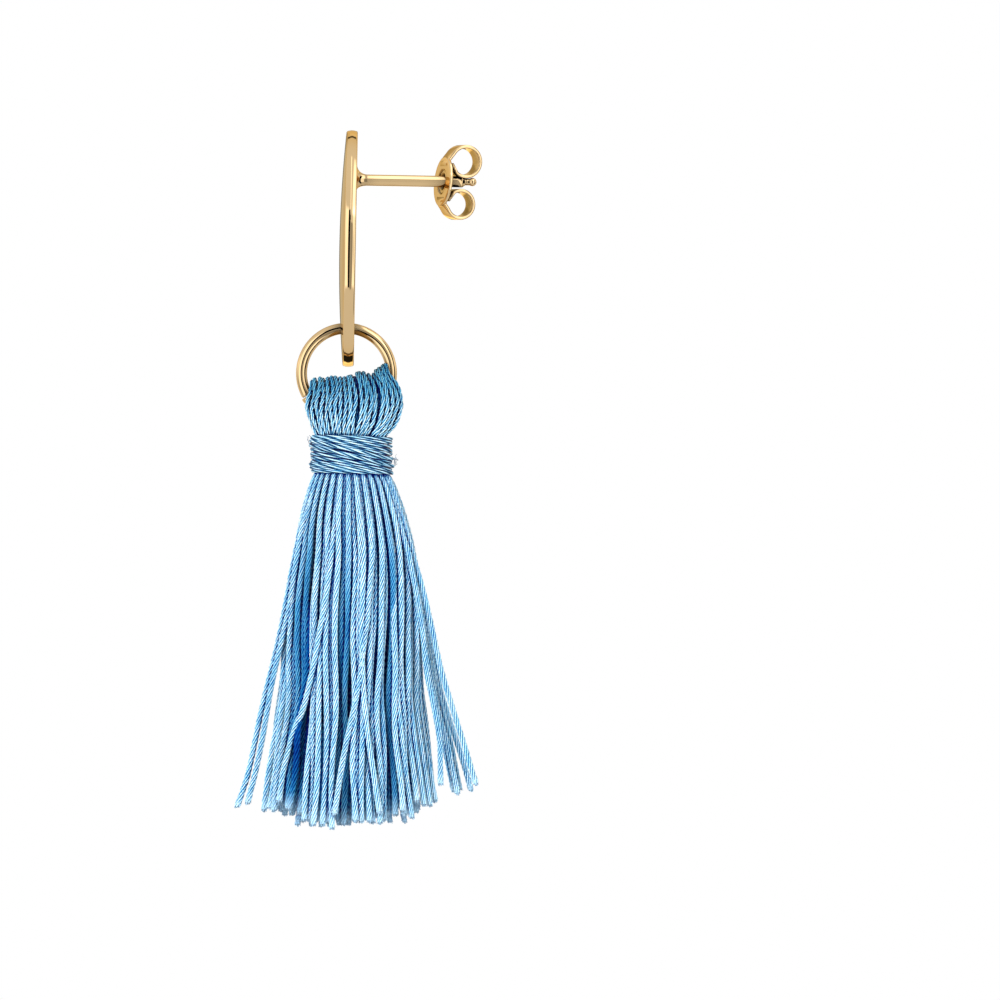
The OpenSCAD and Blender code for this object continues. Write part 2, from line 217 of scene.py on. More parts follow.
# How often the painted shade's hollow tint is taken from red, green and blue, from the light down to the
# bundle's middle; the number for red is the depth
TINT_TIMES = [
    (0, 0, 0),
    (0.5, 0.5, 0.5),
    (1, 1, 1),
    (1.5, 1.5, 1.5),
    (2, 2.1, 1.95),
    (2.5, 3.0, 2.2),
    (3, 4.4, 2.4),
]
DEEPEST = TINT_TIMES[-1][0]
# Pixels across the picture, and how many its middle lies right of the origin and below it
PICTURE = 1000
MIDDLE_RIGHT = 143
MIDDLE_DOWN = 320
# Width of the camera's sensor in millimetres
SENSOR = 36
# Light and dark panels of the tent: degrees sideways and upwards from its front, how far out along Y and
# along Z they go as shares of the distance, how soft their edges are in degrees, and their light
TENT_PANELS = [
    # (side low, side high, lift low, lift high, wide high, steep high, soft, light)
    (-62, -22, -180, 180, 2, 0.6, 2, 1.9),
    (26, 64, -180, 180, 2, 0.6, 2, 1.9),
    (-20, -0.5, -40, 37, 2, 0.7, 0.5, 0.005),
    (2.5, 24, -42, 24, 2, 0.7, 1, 0.45),
    (-0.5, 2.5, -30, 25, 2, 0.7, 0.5, 0.85),
    (-0.5, 2.5, 26, 31, 2, 0.7, 0.5, 0.1),
    (-181, -176, -180, 180, 2, 0.5, 1, 0.3),
    (168, 181, -180, 180, 2, 0.5, 3, 0.3),
    (58, 84, -180, 180, 2, 0.8, 1, 0.0),
    (-166, -125, -180, 180, 2, 0.5, 3, 1.1),
    (-180, 180, 137, 142, 0.9, 2, 1.5, 0.05),
    (-180, 180, 144, 172, 0.9, 2, 1.5, 1.25),
    (-172, -148, 144, 172, 2, 2, 3, 0.75),
    (-180, 180, -150, -127, 0.36, 2, 1.5, 0.02),
    (-180, 180, -174, -151, 0.2, 2, 1.5, 2.7),
]


def linear(code):
    """Linear colour from an sRGB hex value."""
    parts = [int(code[i:i + 2], 16) / 255 for i in (1, 3, 5)]
    return tuple(p / 12.92 if p <= 0.04045 else ((p + 0.055) / 1.055) ** 2.4 for p in parts)


def add(tree, kind, inputs=(), **settings):
    """Add a node with its settings; an input, by name or in order, takes a value, a socket or a node."""
    node = tree.nodes.new(kind)
    for key, value in settings.items():
        if key == "stops":
            ramp = node.color_ramp.elements
            while len(ramp) < len(value):
                ramp.new(0.5)
            for element, (position, colour) in zip(ramp, value):
                element.position, element.color = position, (*colour, 1)
        else:
            setattr(node, key, value)
    for key, value in inputs.items() if isinstance(inputs, dict) else enumerate(inputs):
        if isinstance(value, bpy.types.Node):
            value = next(output for output in value.outputs if output.enabled)
        if isinstance(value, bpy.types.NodeSocket):
            tree.links.new(value, node.inputs[key])
        else:
            node.inputs[key].default_value = value
    return node


def new_material(name):
    """Material with an empty node tree."""
    material = bpy.data.materials.new(name)
    material.use_nodes = True
    material.node_tree.nodes.clear()
    return material, material.node_tree


def polished_gold(settings):
    """Yellow gold plate over brass, tumbled and polished: a warm mirror with faint waviness."""
    name = "Polished yellow gold plate"
    if name in bpy.data.materials:
        return bpy.data.materials[name]
    material, tree = new_material(name)
    place = add(tree, "ShaderNodeTexCoord").outputs["Object"]
    # Polishing marks are far under 0.1 mm and are drawn as coarse as 0.3 mm, to show at all
    marks = add(tree, "ShaderNodeTexNoise", {"Vector": place, "Scale": 1 / (0.3 * MM), "Detail": 3})
    waves = add(tree, "ShaderNodeTexNoise", {"Vector": place, "Scale": 1 / (2.2 * MM), "Detail": 1})
    tint = add(tree, "ShaderNodeValToRGB", {"Fac": waves},
               stops=[(0.3, [part * 0.97 for part in settings.gold]), (0.7, settings.gold)])
    # Painted shade: the gold's colour darkens in creases and inside the nut's curls, by how closed in they
    # are
    nearby = add(tree, "ShaderNodeAmbientOcclusion", {"Distance": 2.0 * MM}, samples=AO_RAYS)
    painted_crease_shade = add(tree, "ShaderNodeMapRange",
                      {"Value": nearby.outputs["AO"], "From Min": 0.35, "From Max": 0.9, "To Min": 0.08})
    shader = add(tree, "ShaderNodeBsdfPrincipled", {
        "Base Color": add(tree, "ShaderNodeMix", {"Factor": 1.0, "A": tint, "B": painted_crease_shade},
                          data_type="RGBA", blend_type="MULTIPLY"),
        "Roughness": add(tree, "ShaderNodeMapRange", {"Value": marks, "To Min": 0.02, "To Max": 0.055}),
        "Normal": add(tree, "ShaderNodeBump", {"Height": waves, "Strength": 0.15, "Distance": 0.02 * MM}),
        "Metallic": 1,
        "Specular Tint": (*linear("#f2d8a8"), 1),
    })
    add(tree, "ShaderNodeOutputMaterial", {"Surface": shader})
    return material


def plied_thread(name, deep, middle, light, hollow, cut, dark_until):
    """Plied viscose thread: a painted highlight where a ply stands proud, painted ink-blue shade where two
    plies or threads meet.
    """
    if name in bpy.data.materials:
        return bpy.data.materials[name]
    material, tree = new_material(name)
    crown, along, strand, ply, tip, shade = (
        add(tree, "ShaderNodeAttribute", attribute_name=key).outputs["Fac"]
        for key in ("crown", "along", "strand", "ply", "tip", "shade")
    )
    thread_no = add(tree, "ShaderNodeMath", [strand, 91.0], operation="MULTIPLY")
    # Filaments are about 0.02 mm wide; their streaks, drawn some 0.07 mm wide and 1 mm long, shift the
    # painted highlight and shade along them
    streak_place = add(tree, "ShaderNodeCombineXYZ", {
        "X": add(tree, "ShaderNodeMath", [along, 1 / (1.0 * MM)], operation="MULTIPLY"),
        "Y": thread_no,
        "Z": add(tree, "ShaderNodeMath", [ply, 4.0], operation="MULTIPLY"),
    })
    streaks = add(tree, "ShaderNodeTexNoise", {"Vector": streak_place, "Scale": 1, "Detail": 3})
    # Each ply takes the dye a little differently and has a stronger or weaker painted highlight, changing
    # over a few millimetres
    ply_no = add(tree, "ShaderNodeMath", [ply], operation="FLOOR")
    ply_place = add(tree, "ShaderNodeCombineXYZ", {
        "X": add(tree, "ShaderNodeMath", [along, 1 / (2.5 * MM)], operation="MULTIPLY"),
        "Y": thread_no,
        "Z": add(tree, "ShaderNodeMath", [ply_no, 7.3], operation="MULTIPLY"),
    })
    plies = add(tree, "ShaderNodeTexNoise", {"Vector": ply_place, "Scale": 1, "Detail": 0})
    # Painted highlight and shade: a ply's crown is coloured light, its sides blue and the groove between
    # plies deep blue
    mixed = add(tree, "ShaderNodeMath", [streaks, 1.0, crown], operation="MULTIPLY_ADD")
    mixed = add(tree, "ShaderNodeMath", [plies, 0.5, mixed], operation="MULTIPLY_ADD")
    height = add(tree, "ShaderNodeMapRange", {"Value": mixed, "From Min": dark_until, "From Max": 1.9})
    colour = add(tree, "ShaderNodeValToRGB", {"Fac": height},
                 stops=[(0.05, deep), (0.38, middle), (0.82, light)])
    # Painted shade: little light reaches the narrow clefts between threads, and what does is blue from thread
    # to thread, so the colour there is tinted dark blue
    nearby = add(tree, "ShaderNodeAmbientOcclusion", {"Distance": 0.4 * MM}, samples=AO_RAYS)
    cleft = add(tree, "ShaderNodeMapRange", {
        "Value": nearby.outputs["AO"],
        "From Min": 0.42,
        "From Max": 0.74,
        "To Min": 1.0,
        "To Max": 0.0,
    })
    # Painted shade: a depth of 1 is a sunken thread and DEEPEST the dark middle of the bundle. Each step
    # tints once more, and the last ones lose more green than blue, down to ink blue
    depth = add(tree, "ShaderNodeMath", [cleft, 3.3, shade], operation="MULTIPLY_ADD")
    depth = add(tree, "ShaderNodeMath", [depth, DEEPEST], operation="DIVIDE")
    tint = add(tree, "ShaderNodeValToRGB", {"Fac": depth}, stops=[
        (times[0] / DEEPEST, [part ** power for part, power in zip(hollow, times)])
        for times in TINT_TIMES
    ])
    shaded = add(tree, "ShaderNodeMix", {"Factor": 1.0, "A": colour, "B": tint},
                 data_type="RGBA", blend_type="MULTIPLY")
    place = add(tree, "ShaderNodeTexCoord").outputs["Object"]
    fuzz = add(tree, "ShaderNodeTexNoise", {"Vector": place, "Scale": 1 / (0.1 * MM), "Detail": 2})
    shader = add(tree, "ShaderNodeBsdfPrincipled", {
        "Base Color": add(tree, "ShaderNodeMix", {"Factor": tip, "A": shaded, "B": (*linear(cut), 1)},
                          data_type="RGBA"),
        "Normal": add(tree, "ShaderNodeBump", {"Height": fuzz, "Strength": 0.4, "Distance": 0.03 * MM}),
        "Roughness": 0.4,
        "IOR": 1.5,
        "Specular IOR Level": 0.03,
    })
    add(tree, "ShaderNodeOutputMaterial", {"Surface": shader})
    return material


def tassel_thread(settings):
    """Finish of the tassel's own thread."""
    return plied_thread("Sky blue viscose thread", settings.blue_groove_shade, settings.blue_mid, settings.blue_crown_highlight,
                        settings.blue_hollow_shade, "#b9dcf1", 0.9)


def folded_thread(settings):
    """The same thread where it is folded over the ring and pressed together, its painted shade in the hollows
    greyer.
    """
    return plied_thread("Folded sky blue viscose thread", settings.blue_groove_shade, settings.blue_mid,
                        settings.blue_crown_highlight, settings.head_hollow_shade, "#b9dcf1", 0.9)


def winding_thread(settings):
    """Finish of the finer, darker thread of the winding."""
    return plied_thread("Steel blue viscose thread", settings.wrap_groove_shade, settings.wrap_mid,
                        settings.wrap_crown_highlight, settings.blue_hollow_shade, "#c6d8e6", 1.05)


def thread_tree():
    """Geometry Nodes tree that sweeps a plied, twisted thread along every guide line."""
    tree = bpy.data.node_groups.new("Twisted thread", "GeometryNodeTree")
    for name, kind, default in (
        ("Guides", "NodeSocketGeometry", None),
        ("Diameter", "NodeSocketFloat", 0.5 * MM),
        ("Plies", "NodeSocketInt", 6),
        ("Lay length", "NodeSocketFloat", 3.2 * MM),
        ("Rings per turn", "NodeSocketInt", 10),
        ("Groove depth", "NodeSocketFloat", 0.42),
        ("Unevenness", "NodeSocketFloat", 0.05 * MM),
        ("Seed", "NodeSocketInt", 1),
        ("Material", "NodeSocketMaterial", None),
    ):
        socket = tree.interface.new_socket(name, in_out="INPUT", socket_type=kind)
        if default is not None:
            socket.default_value = default
    tree.interface.new_socket("Thread", in_out="OUTPUT", socket_type="NodeSocketGeometry")
    given = add(tree, "NodeGroupInput").outputs

    lines = add(tree, "GeometryNodeMeshToCurve", {"Mesh": given["Guides"]})
    smooth = add(tree, "GeometryNodeCurveSplineType", {"Curve": lines}, spline_type="CATMULL_ROM")
    step = add(tree, "ShaderNodeMath", [given["Lay length"], given["Rings per turn"]],
               operation="DIVIDE")
    even = add(tree, "GeometryNodeResampleCurve", {"Curve": smooth, "Length": step}, mode="LENGTH")

    # The twist starts anywhere and is up to a sixth tighter or looser from thread to thread
    way = add(tree, "GeometryNodeSplineParameter").outputs["Length"]
    index = add(tree, "GeometryNodeInputIndex")
    which = add(tree, "GeometryNodeFieldOnDomain", {"Value": index}, domain="CURVE", data_type="INT")
    chance = add(tree, "FunctionNodeRandomValue", {"ID": which, "Seed": given["Seed"]})
    lay = add(tree, "ShaderNodeMapRange", {"Value": chance, "To Min": 0.85, "To Max": 1.15})
    lay = add(tree, "ShaderNodeMath", [lay, given["Lay length"]], operation="MULTIPLY")
    turns = add(tree, "ShaderNodeMath", [way, lay], operation="DIVIDE")
    turns = add(tree, "ShaderNodeMath", [chance, 17.0, turns], operation="MULTIPLY_ADD")
    tilt = add(tree, "ShaderNodeMath", [turns, math.tau], operation="MULTIPLY")
    guide = add(tree, "GeometryNodeSetCurveTilt", {"Curve": even, "Tilt": tilt})
    for name, value in (("along", way), ("strand", chance)):
        guide = add(tree, "GeometryNodeStoreNamedAttribute",
                    {"Geometry": guide, "Name": name, "Value": value})

    # Each ply has four points of the profile: its crown, a side, the groove and the next one's side
    points = add(tree, "ShaderNodeMath", [given["Plies"], 4.0], operation="MULTIPLY")
    profile = add(tree, "GeometryNodeCurvePrimitiveCircle", {"Resolution": points, "Radius": 1.0})
    round_it = add(tree, "ShaderNodeMath", [index, math.pi / 2], operation="MULTIPLY")
    crest = add(tree, "ShaderNodeMath", [round_it], operation="COSINE")
    proud = add(tree, "ShaderNodeMath", [crest, 0.5, 0.5], operation="MULTIPLY_ADD")
    ply = add(tree, "ShaderNodeMath", [index, 0.25, 0.5], operation="MULTIPLY_ADD")
    for name, value in (("crown", proud), ("ply", ply)):
        profile = add(tree, "GeometryNodeStoreNamedAttribute",
                      {"Geometry": profile, "Name": name, "Value": value})
    sunk = add(tree, "ShaderNodeMath", [1.0, proud], operation="SUBTRACT")
    sunk = add(tree, "ShaderNodeMath", [sunk, 1.4], operation="POWER")
    sunk = add(tree, "ShaderNodeMath", [sunk, given["Groove depth"]], operation="MULTIPLY")
    size = add(tree, "ShaderNodeMath", [1.0, sunk], operation="SUBTRACT")
    position = add(tree, "GeometryNodeInputPosition")
    lobed = add(tree, "ShaderNodeVectorMath", {0: position, "Scale": size}, operation="SCALE")
    profile = add(tree, "GeometryNodeSetPosition", {"Geometry": profile, "Position": lobed})

    radius = add(tree, "ShaderNodeMath", [given["Diameter"], 0.5], operation="MULTIPLY")
    thick = add(tree, "GeometryNodeInputNamedAttribute", {"Name": "thick"})
    radius = add(tree, "ShaderNodeMath", [radius, thick], operation="MULTIPLY")
    body = add(tree, "GeometryNodeCurveToMesh",
               {"Curve": guide, "Profile Curve": profile, "Scale": radius, "Fill Caps": True})
    lumps = add(tree, "ShaderNodeTexNoise", {"Vector": position, "Scale": 1 / (0.45 * MM), "Detail": 1})
    lump = add(tree, "ShaderNodeMath", [lumps, 0.5], operation="SUBTRACT")
    lump = add(tree, "ShaderNodeMath", [lump, given["Unevenness"]], operation="MULTIPLY")
    out = add(tree, "GeometryNodeInputNormal")
    push = add(tree, "ShaderNodeVectorMath", {0: out, "Scale": lump}, operation="SCALE")
    uneven = add(tree, "GeometryNodeSetPosition", {"Geometry": body, "Offset": push})
    shaded = add(tree, "GeometryNodeSetShadeSmooth", {"Geometry": uneven})
    real = add(tree, "GeometryNodeRealizeInstances", {"Geometry": shaded})
    done = add(tree, "GeometryNodeSetMaterial", {"Geometry": real, "Material": given["Material"]})
    add(tree, "NodeGroupOutput", [done])
    return tree


def new_object(name, data):
    """Object with its data, linked to the scene."""
    made = bpy.data.objects.new(name, data)
    bpy.context.scene.collection.objects.link(made)
    return made


def sweep(name, paths, node, inputs):
    """Twisted threads of the tassel; a path has rows of (x, y, z in mm, thickness, tip, shade)."""
    tree = bpy.data.node_groups.get("Twisted thread") or thread_tree()
    rows = np.concatenate(paths)
    starts = np.cumsum([0] + [len(path) for path in paths[:-1]])
    edges = [(start + i, start + i + 1) for start, path in zip(starts, paths) for i in range(len(path) - 1)]
    mesh = bpy.data.meshes.new(name)
    mesh.from_pydata((rows[:, :3] * MM).tolist(), edges, [])
    for attribute, values in zip(("thick", "tip", "shade"), rows[:, 3:].T):
        mesh.attributes.new(attribute, "FLOAT", "POINT").data.foreach_set("value", values.astype(np.float32))
    guide = new_object(name + "_guide", mesh)
    modifier = guide.modifiers.new("Thread", "NODES")
    modifier.node_group = tree
    for item in tree.interface.items_tree:
        if item.name in inputs and item.in_out == "INPUT":
            modifier[item.identifier] = inputs[item.name]
    plain = evaluated_mesh(guide)
    plain.name = name
    bpy.data.objects.remove(guide)
    bpy.data.meshes.remove(mesh)
    ready(new_object(name, plain), "tassel", node)


def evaluated_mesh(piece):
    """Plain mesh of an object with its modifiers applied."""
    graph = bpy.context.evaluated_depsgraph_get()
    return bpy.data.meshes.new_from_object(piece.evaluated_get(graph), depsgraph=graph)


def column(table, at, key):
    """Value of a table's column at a place, between its rows."""
    return np.interp(at, [row[0] for row in table], [row[key] for row in table])


def path_of(x, y, z, thick=1.0, tip=0.0, shade=0.0):
    """Rows of a path from its columns."""
    return np.column_stack([np.broadcast_to(part, np.shape(z)) for part in (x, y, z, thick, tip, shade)])


def hanging(down, x, y, shade=0.0):
    """Path of a hanging thread: finer where the winding grips it, blunt and paler at its cut end."""
    # How far down the winding's grip tells, and the lengths of the pale end and of the end where the painted
    # shade lightens
    gripped, pale, lit = 6, 0.9, 3
    thick = 0.8 + 0.2 * np.clip(down / gripped, 0, 1)
    thick[-1] *= 1.1
    tip = 0.55 * np.clip((down - down[-1] + pale) / pale, 0, 1)
    shade = shade * (1 - 0.4 * np.clip((down - down[-1] + lit) / lit, 0, 1))
    return path_of(x, y, SKIRT_TOP - down, thick, tip, shade)


def skirt_width(down):
    """Middle of the skirt along Y, and half the width that its threads' centre lines keep inside."""
    left, right = column(SKIRT_EDGES, down, 1), column(SKIRT_EDGES, down, 2)
    return (left + right) / 2, (right - left) / 2 - EDGE_ROOM


def across_share(y, down):
    """Share of the skirt's half width that a place along Y is at."""
    middle, half = skirt_width(down)
    return (y - middle) / half


def skirt_line(rng, across, deep, ends_at, wander, shade, sunk_at):
    """One thread of the skirt. Across and deep are shares of its half sizes at the neck and low down, and
    a sunken thread takes its whole painted shade some way down."""
    down = np.append(np.arange(-UNDER_WRAP, ends_at - 0.5, GUIDE_STEP), ends_at)
    middle, half = skirt_width(down)
    share = np.clip((down - 1.0) / (LOCKS_AT - 1.0), 0, 1.25)
    ease = np.where(share > 1, 1 + (share - 1) * 0.6, share ** 2 * (3 - 2 * np.minimum(share, 1)))
    # It sways a little along both axes, the more the lower, once in 8 to 15 mm
    loose = wander * np.clip(down / 20, 0, 1)
    wave = rng.uniform(8, 15, 2)
    phase = rng.uniform(0, math.tau, 2)
    y = middle + half * (across[0] + (across[1] - across[0]) * ease)
    y = y + loose * np.sin(math.tau * down / wave[0] + phase[0])
    x = SKIRT_DEPTH * half * (deep[0] + (deep[1] - deep[0]) * np.minimum(ease, 1))
    x = x + loose * np.sin(math.tau * down / wave[1] + phase[1])
    # Painted shade on sunken threads lightens and deepens here and there along them
    sunken = 0.78 + 0.22 * np.sin(math.tau * down / wave[0] + phase[1])
    return hanging(down, x, y, shade * sunken * np.clip(down / sunk_at, 0.2, 1))


def end_length(rng, across):
    """Length of the thread that ends at a place across the skirt."""
    return column(SKIRT_ENDS, across, 1) + rng.normal(0, 0.28)


def random_locks(rng):
    """Locks like the front's, for the side that faces away."""
    locks = []
    y, last = -6.2, 6.6
    while y < last:
        threads = int(rng.integers(1, 4))
        width = 0.34 * threads
        locks.append((y, y + width, threads, rng.choice([1.0, 0.97, 0.9, 0.76])))
        y += width + rng.uniform(0.05, 0.4)
    return locks


def skirt_face(rng, locks, side):
    """Threads of the outer layer on one side of the skirt, in the order of its locks."""
    total = sum(threads for _, _, threads, _ in locks)
    paths = []
    for left, right, threads, out in locks:
        for k in range(threads):
            # Every second thread lies a little further in, at the neck and in its lock
            angle = math.pi * ((len(paths) + 0.5) / total - 0.5)
            neck = 1.0 - 0.1 * (len(paths) % 2)
            end = left + (right - left) * (k + 0.5) / threads
            across = np.clip(across_share(end, LOCKS_AT), -0.995, 0.995)
            own_out = out - 0.05 * (k % 2) + rng.normal(0, 0.01)
            paths.append(skirt_line(
                rng,
                (neck * math.sin(angle), across),
                (side * neck * math.cos(angle), side * own_out * math.sqrt(1 - across ** 2)),
                end_length(rng, end),
                wander=0.1,
                # Painted shade on threads that lie further in than 0.95, the deeper the further in
                shade=min(1.5, max(0.0, 4.2 * (0.95 - own_out))) + rng.uniform(0, 0.08),
                sunk_at=14,
            ))
    return paths


def skirt_inside(rng, count):
    """Threads inside the skirt, spread evenly over its section and all tinted with deep painted shade."""
    paths = []
    for k in range(count):
        out = 0.8 * math.sqrt((k + 0.5) / count)
        angle = k * math.pi * (3 - math.sqrt(5))
        loose = rng.normal(0, 0.06, 2)
        across, deep = out * math.sin(angle), out * math.cos(angle)
        path = skirt_line(
            rng,
            (across, 1.05 * across + loose[0]),
            (deep, deep + loose[1]),
            end_length(rng, across * 7.4 + 0.25),
            wander=0.12,
            shade=rng.uniform(1.6, 2.6),
            sunk_at=5,
        )
        # A little thicker between neck and ends, where they keep daylight from showing through
        last = len(path) - 1
        path[:, 3] *= np.interp(np.arange(len(path)), [0, 3, last - 3, last], [1, 1.25, 1.25, 1])
        paths.append(path)
    return paths


def loose_lines(rng):
    """Strands that stand off the skirt and threads that cross its locks."""
    paths = []
    for places in STRAYS + CROSSINGS:
        down, y = np.array(places).T[:2]
        steps = np.linspace(down[0], down[-1], 26)
        crossing = len(places[0]) == 2
        slow = 1.9 if crossing else 1.7
        y_at = np.interp(steps, down, y) + 0.05 * np.sin(steps / slow + rng.uniform(0, 6))
        if crossing:
            rise = np.interp(steps, [-1, 3, 9], [0.72, 0.96, 1.04])
            face = np.sqrt(1 - np.clip(across_share(y_at, steps), -0.99, 0.99) ** 2)
            paths.append(hanging(steps, SKIRT_DEPTH * skirt_width(steps)[1] * rise * face, y_at))
        else:
            # Stray strands take a little painted shade
            paths.append(hanging(steps, np.interp(steps, down, np.array(places)[:, 2]), y_at, 0.1))
    return paths


def frayed_ends(rng, paths, fibres):
    """Short fibres that brush out of the cut end of every thread."""
    tufts = []
    for path in paths:
        end, way = path[-1, :3], path[-1, :3] - path[-2, :3]
        way = way / np.linalg.norm(way)
        for k in range(fibres):
            side = np.array([math.cos(k * 2.4), math.sin(k * 2.4), 0.0])
            out = math.sqrt((k + 0.5) / fibres)
            steps = np.linspace(0, 1, 4)
            line = end - 0.3 * way + 0.2 * out * side
            line = line + np.outer(steps, way) * rng.uniform(0.38, 0.62 - 0.12 * out)
            x, y, z = (line + np.outer(steps ** 2, side) * out * rng.uniform(0.0, 0.09)).T
            # Fibres are paler like the cut end and take some of their thread's painted shade
            tufts.append(path_of(x, y, z, np.array([1, 1, 1, 0.75]), 0.6, 0.3 * path[-1, 5]))
    return tufts


def head_loops(rng, layer):
    """Loops folded over the ring; deeper layers lie inside the one before and fill its folds."""
    places = []
    place = 0.0
    for count, left_top, right_top, out, fold in HEAD_BUNCHES:
        for k in range(count):
            round_off = 0.07 * (2 * (k + 0.5) / count - 1) ** 2
            top = left_top + (right_top - left_top) * k / (count - 1)
            places.append((place, top - (0.1 if k in (0, count - 1) else 0), out - round_off))
            place += 1
        place += fold
    room = places[-1][0]
    # How much lower and further in each layer lies than the one before
    lower, inward = 0.12, 0.3
    if layer:
        steps = np.linspace(0.3, room - 0.3, len(places) + 1 - layer)
        places = [(at, column(places, at, 1) - lower, 0.97) for at in steps]
    start = HEAD_EDGES[0][0]
    paths = []
    for place, top, out in places:
        across = place / room
        rise = top - HALF_LOOP - lower * layer - rng.uniform(0, 0.1)
        deepest = HEAD_DEPTH * out * (1 - 0.4 * abs(2 * across - 1) ** 3) - inward * layer
        turn = np.linspace(0, math.pi, 31)
        front = np.where(turn < math.pi / 2 + 1e-6, 1, -1)
        z = start + (rise - start) * np.sin(turn) ** 0.9
        swell = np.interp(z, [start, 0.1, 1.4, 2.6, rise - 1.2], [0.8, 0.86, 0.98, 1.0, 0.93])
        fall = np.clip((z - (rise - 2.2)) / 2.2, 0, 1)
        x = front * deepest * swell * np.sqrt(np.maximum(1 - fall ** 2.2, 0))
        left, right = column(HEAD_EDGES, z, 1) + HALF_LOOP, column(HEAD_EDGES, z, 2) - HALF_LOOP
        y = left + (right - left) * across + 0.06 * np.sin(z * 2.1 + rng.uniform(0, 6))
        # The loops pass round the ring's wire and not through it
        from_wire = np.hypot(y - RING_Y, z + WRAP_TOP - RING_Z) - (RING_R - WIRE_R)
        clear = np.sqrt(np.maximum(WIRE_ROOM ** 2 - from_wire ** 2, 0))
        x = np.where(np.abs(x) < clear, clear * front, x)
        # Painted shade: darker towards the head's top, where the loops turn away from the light, and darker
        # still on the deeper layers
        shade = 0.5 * np.clip((z - 1.2) / 3.0, 0, 1) + (0.8 if layer else 0.0) + rng.uniform(0, 0.12)
        paths.append(path_of(x, y, WRAP_TOP + z, shade=shade))
    return paths


def drift(rng, count, span):
    """Random numbers that change smoothly, each the mean of a span of them."""
    return np.convolve(rng.normal(0, 1, count + span - 1), np.ones(span) / span, "valid")


def wrap_line(rng):
    """Thread wound round the neck, turn after turn as the table says."""
    rows = []
    points, half = 44, 0.14
    for (left, right, out), (next_left, _, next_out) in zip(WRAP_TURNS, WRAP_TURNS[1:] + WRAP_TURNS[-1:]):
        for a in np.linspace(-math.pi / 2, math.pi * 3 / 2, points, endpoint=False):
            if a < math.pi / 2:
                share = (math.sin(a) + 1) / 2
                rows.append((a, left + (right - left) * share, out))
            else:
                share = (1 - math.sin(a)) / 2
                rows.append((a, right + (next_left - right) * share, out + (next_out - out) * share))
    angle, z, out = np.array(rows).T
    z = np.clip(z + 0.09 * drift(rng, len(angle), 13), half, WRAP_TOP - SKIRT_TOP - half)
    radius = WRAP_R + out + 0.08 * drift(rng, len(angle), 9)
    x, y = WRAP_DEPTH * radius * np.cos(angle), TASSEL_Y + radius * np.sin(angle)
    # Painted shade on the level turns, which lie under the slanting ones
    return path_of(x, y, SKIRT_TOP + z, shade=0.9 * (out < 0.05))


def wrap_fluff(rng):
    """Loose fibres that curl out of the winding at its two sides."""
    lines = []
    steps = np.linspace(0, 1, 9)
    for y, z, side, count in ((3.45, 1.0, 1, 8), (-3.4, 2.75, -1, 6)):
        for _ in range(count):
            curl = 5 * steps + rng.uniform(0, math.tau)
            reach = rng.uniform(0.15, 0.45)
            x = rng.uniform(-0.8, 0.8) + 0.25 * np.sin(curl)
            height = SKIRT_TOP + z + rng.normal(0, 0.25) + rng.uniform(-0.2, 0.5) * steps
            height = height + 0.18 * np.cos(curl)
            lines.append(path_of(x, y + side * reach * steps, height, np.linspace(1, 0.5, 9), 0.2))
    return lines


def arc(cx, cy, r, start, stop, steps):
    """Points of an arc, its angles in degrees."""
    angles = np.radians(np.linspace(start, stop, steps + 1))
    return [(cx + r * math.cos(a), cy + r * math.sin(a)) for a in angles]


def skin(shape, rows, endless=False):
    """Faces between rows of vertices, each a loop or one point, with end caps or the last row joined on."""
    following = rows[1:] + rows[:1] if endless else rows[1:]
    for low, high in zip(rows, following):
        sides = max(len(low), len(high))
        for k in range(sides):
            n = (k + 1) % sides
            corners = (low[k % len(low)], high[k % len(high)], high[n % len(high)], low[n % len(low)])
            shape.faces.new(list(dict.fromkeys(corners)))
    if not endless and len(rows[0]) > 1:
        shape.faces.new(rows[0])
        shape.faces.new(rows[-1][::-1])
    bmesh.ops.recalc_face_normals(shape, faces=shape.faces)
    return shape


def turned(profile, segments, to_place):
    """Closed bmesh turned from a profile of (radius, height) that starts and ends on the axis."""
    shape = bmesh.new()
    angles = [math.tau * k / segments for k in range(segments)]
    rows = []
    for r, h in profile:
        row = angles if r > 1e-6 else [0]
        rows.append([shape.verts.new(to_place(r * math.cos(a), r * math.sin(a), h)) for a in row])
    return skin(shape, rows)


def swept_band(path, width, sheet, corner):
    """Closed bmesh of a flat band with rounded edges along a path of (along Y, height)."""
    shape = bmesh.new()
    points = np.array(path)
    section = []
    for cx, cy, start in ((1, 1, 0), (-1, 1, 90), (-1, -1, 180), (1, -1, 270)):
        section += arc(cx * (width / 2 - corner), cy * (sheet / 2 - corner), corner, start, start + 90, 4)
    rows = []
    for i, (y, z) in enumerate(points):
        ahead, behind = points[min(i + 1, len(points) - 1)], points[max(i - 1, 0)]
        way = (ahead - behind) / np.linalg.norm(ahead - behind)
        rows.append([shape.verts.new((sx, y - sy * way[1], z + sy * way[0])) for sx, sy in section])
    return skin(shape, rows)


def joined(shapes):
    """One bmesh from several."""
    whole = bmesh.new()
    for shape in shapes:
        mesh = bpy.data.meshes.new("part")
        shape.to_mesh(mesh)
        shape.free()
        whole.from_mesh(mesh)
        bpy.data.meshes.remove(mesh)
    return whole


def finish_mesh(shape, name, material, smooth=True):
    """Mesh object from a bmesh in millimetres."""
    bmesh.ops.scale(shape, vec=(MM, MM, MM), verts=shape.verts)
    mesh = bpy.data.meshes.new(name)
    shape.to_mesh(mesh)
    shape.free()
    mesh.materials.append(material)
    mesh.polygons.foreach_set("use_smooth", [smooth] * len(mesh.polygons))
    return new_object(name, mesh)


def length_prop(name, description, size, **more):
    """Length that a user can set, its default in millimetres."""
    return bpy.props.FloatProperty(
        name=name, description=description, default=size * MM, unit="LENGTH", **more)


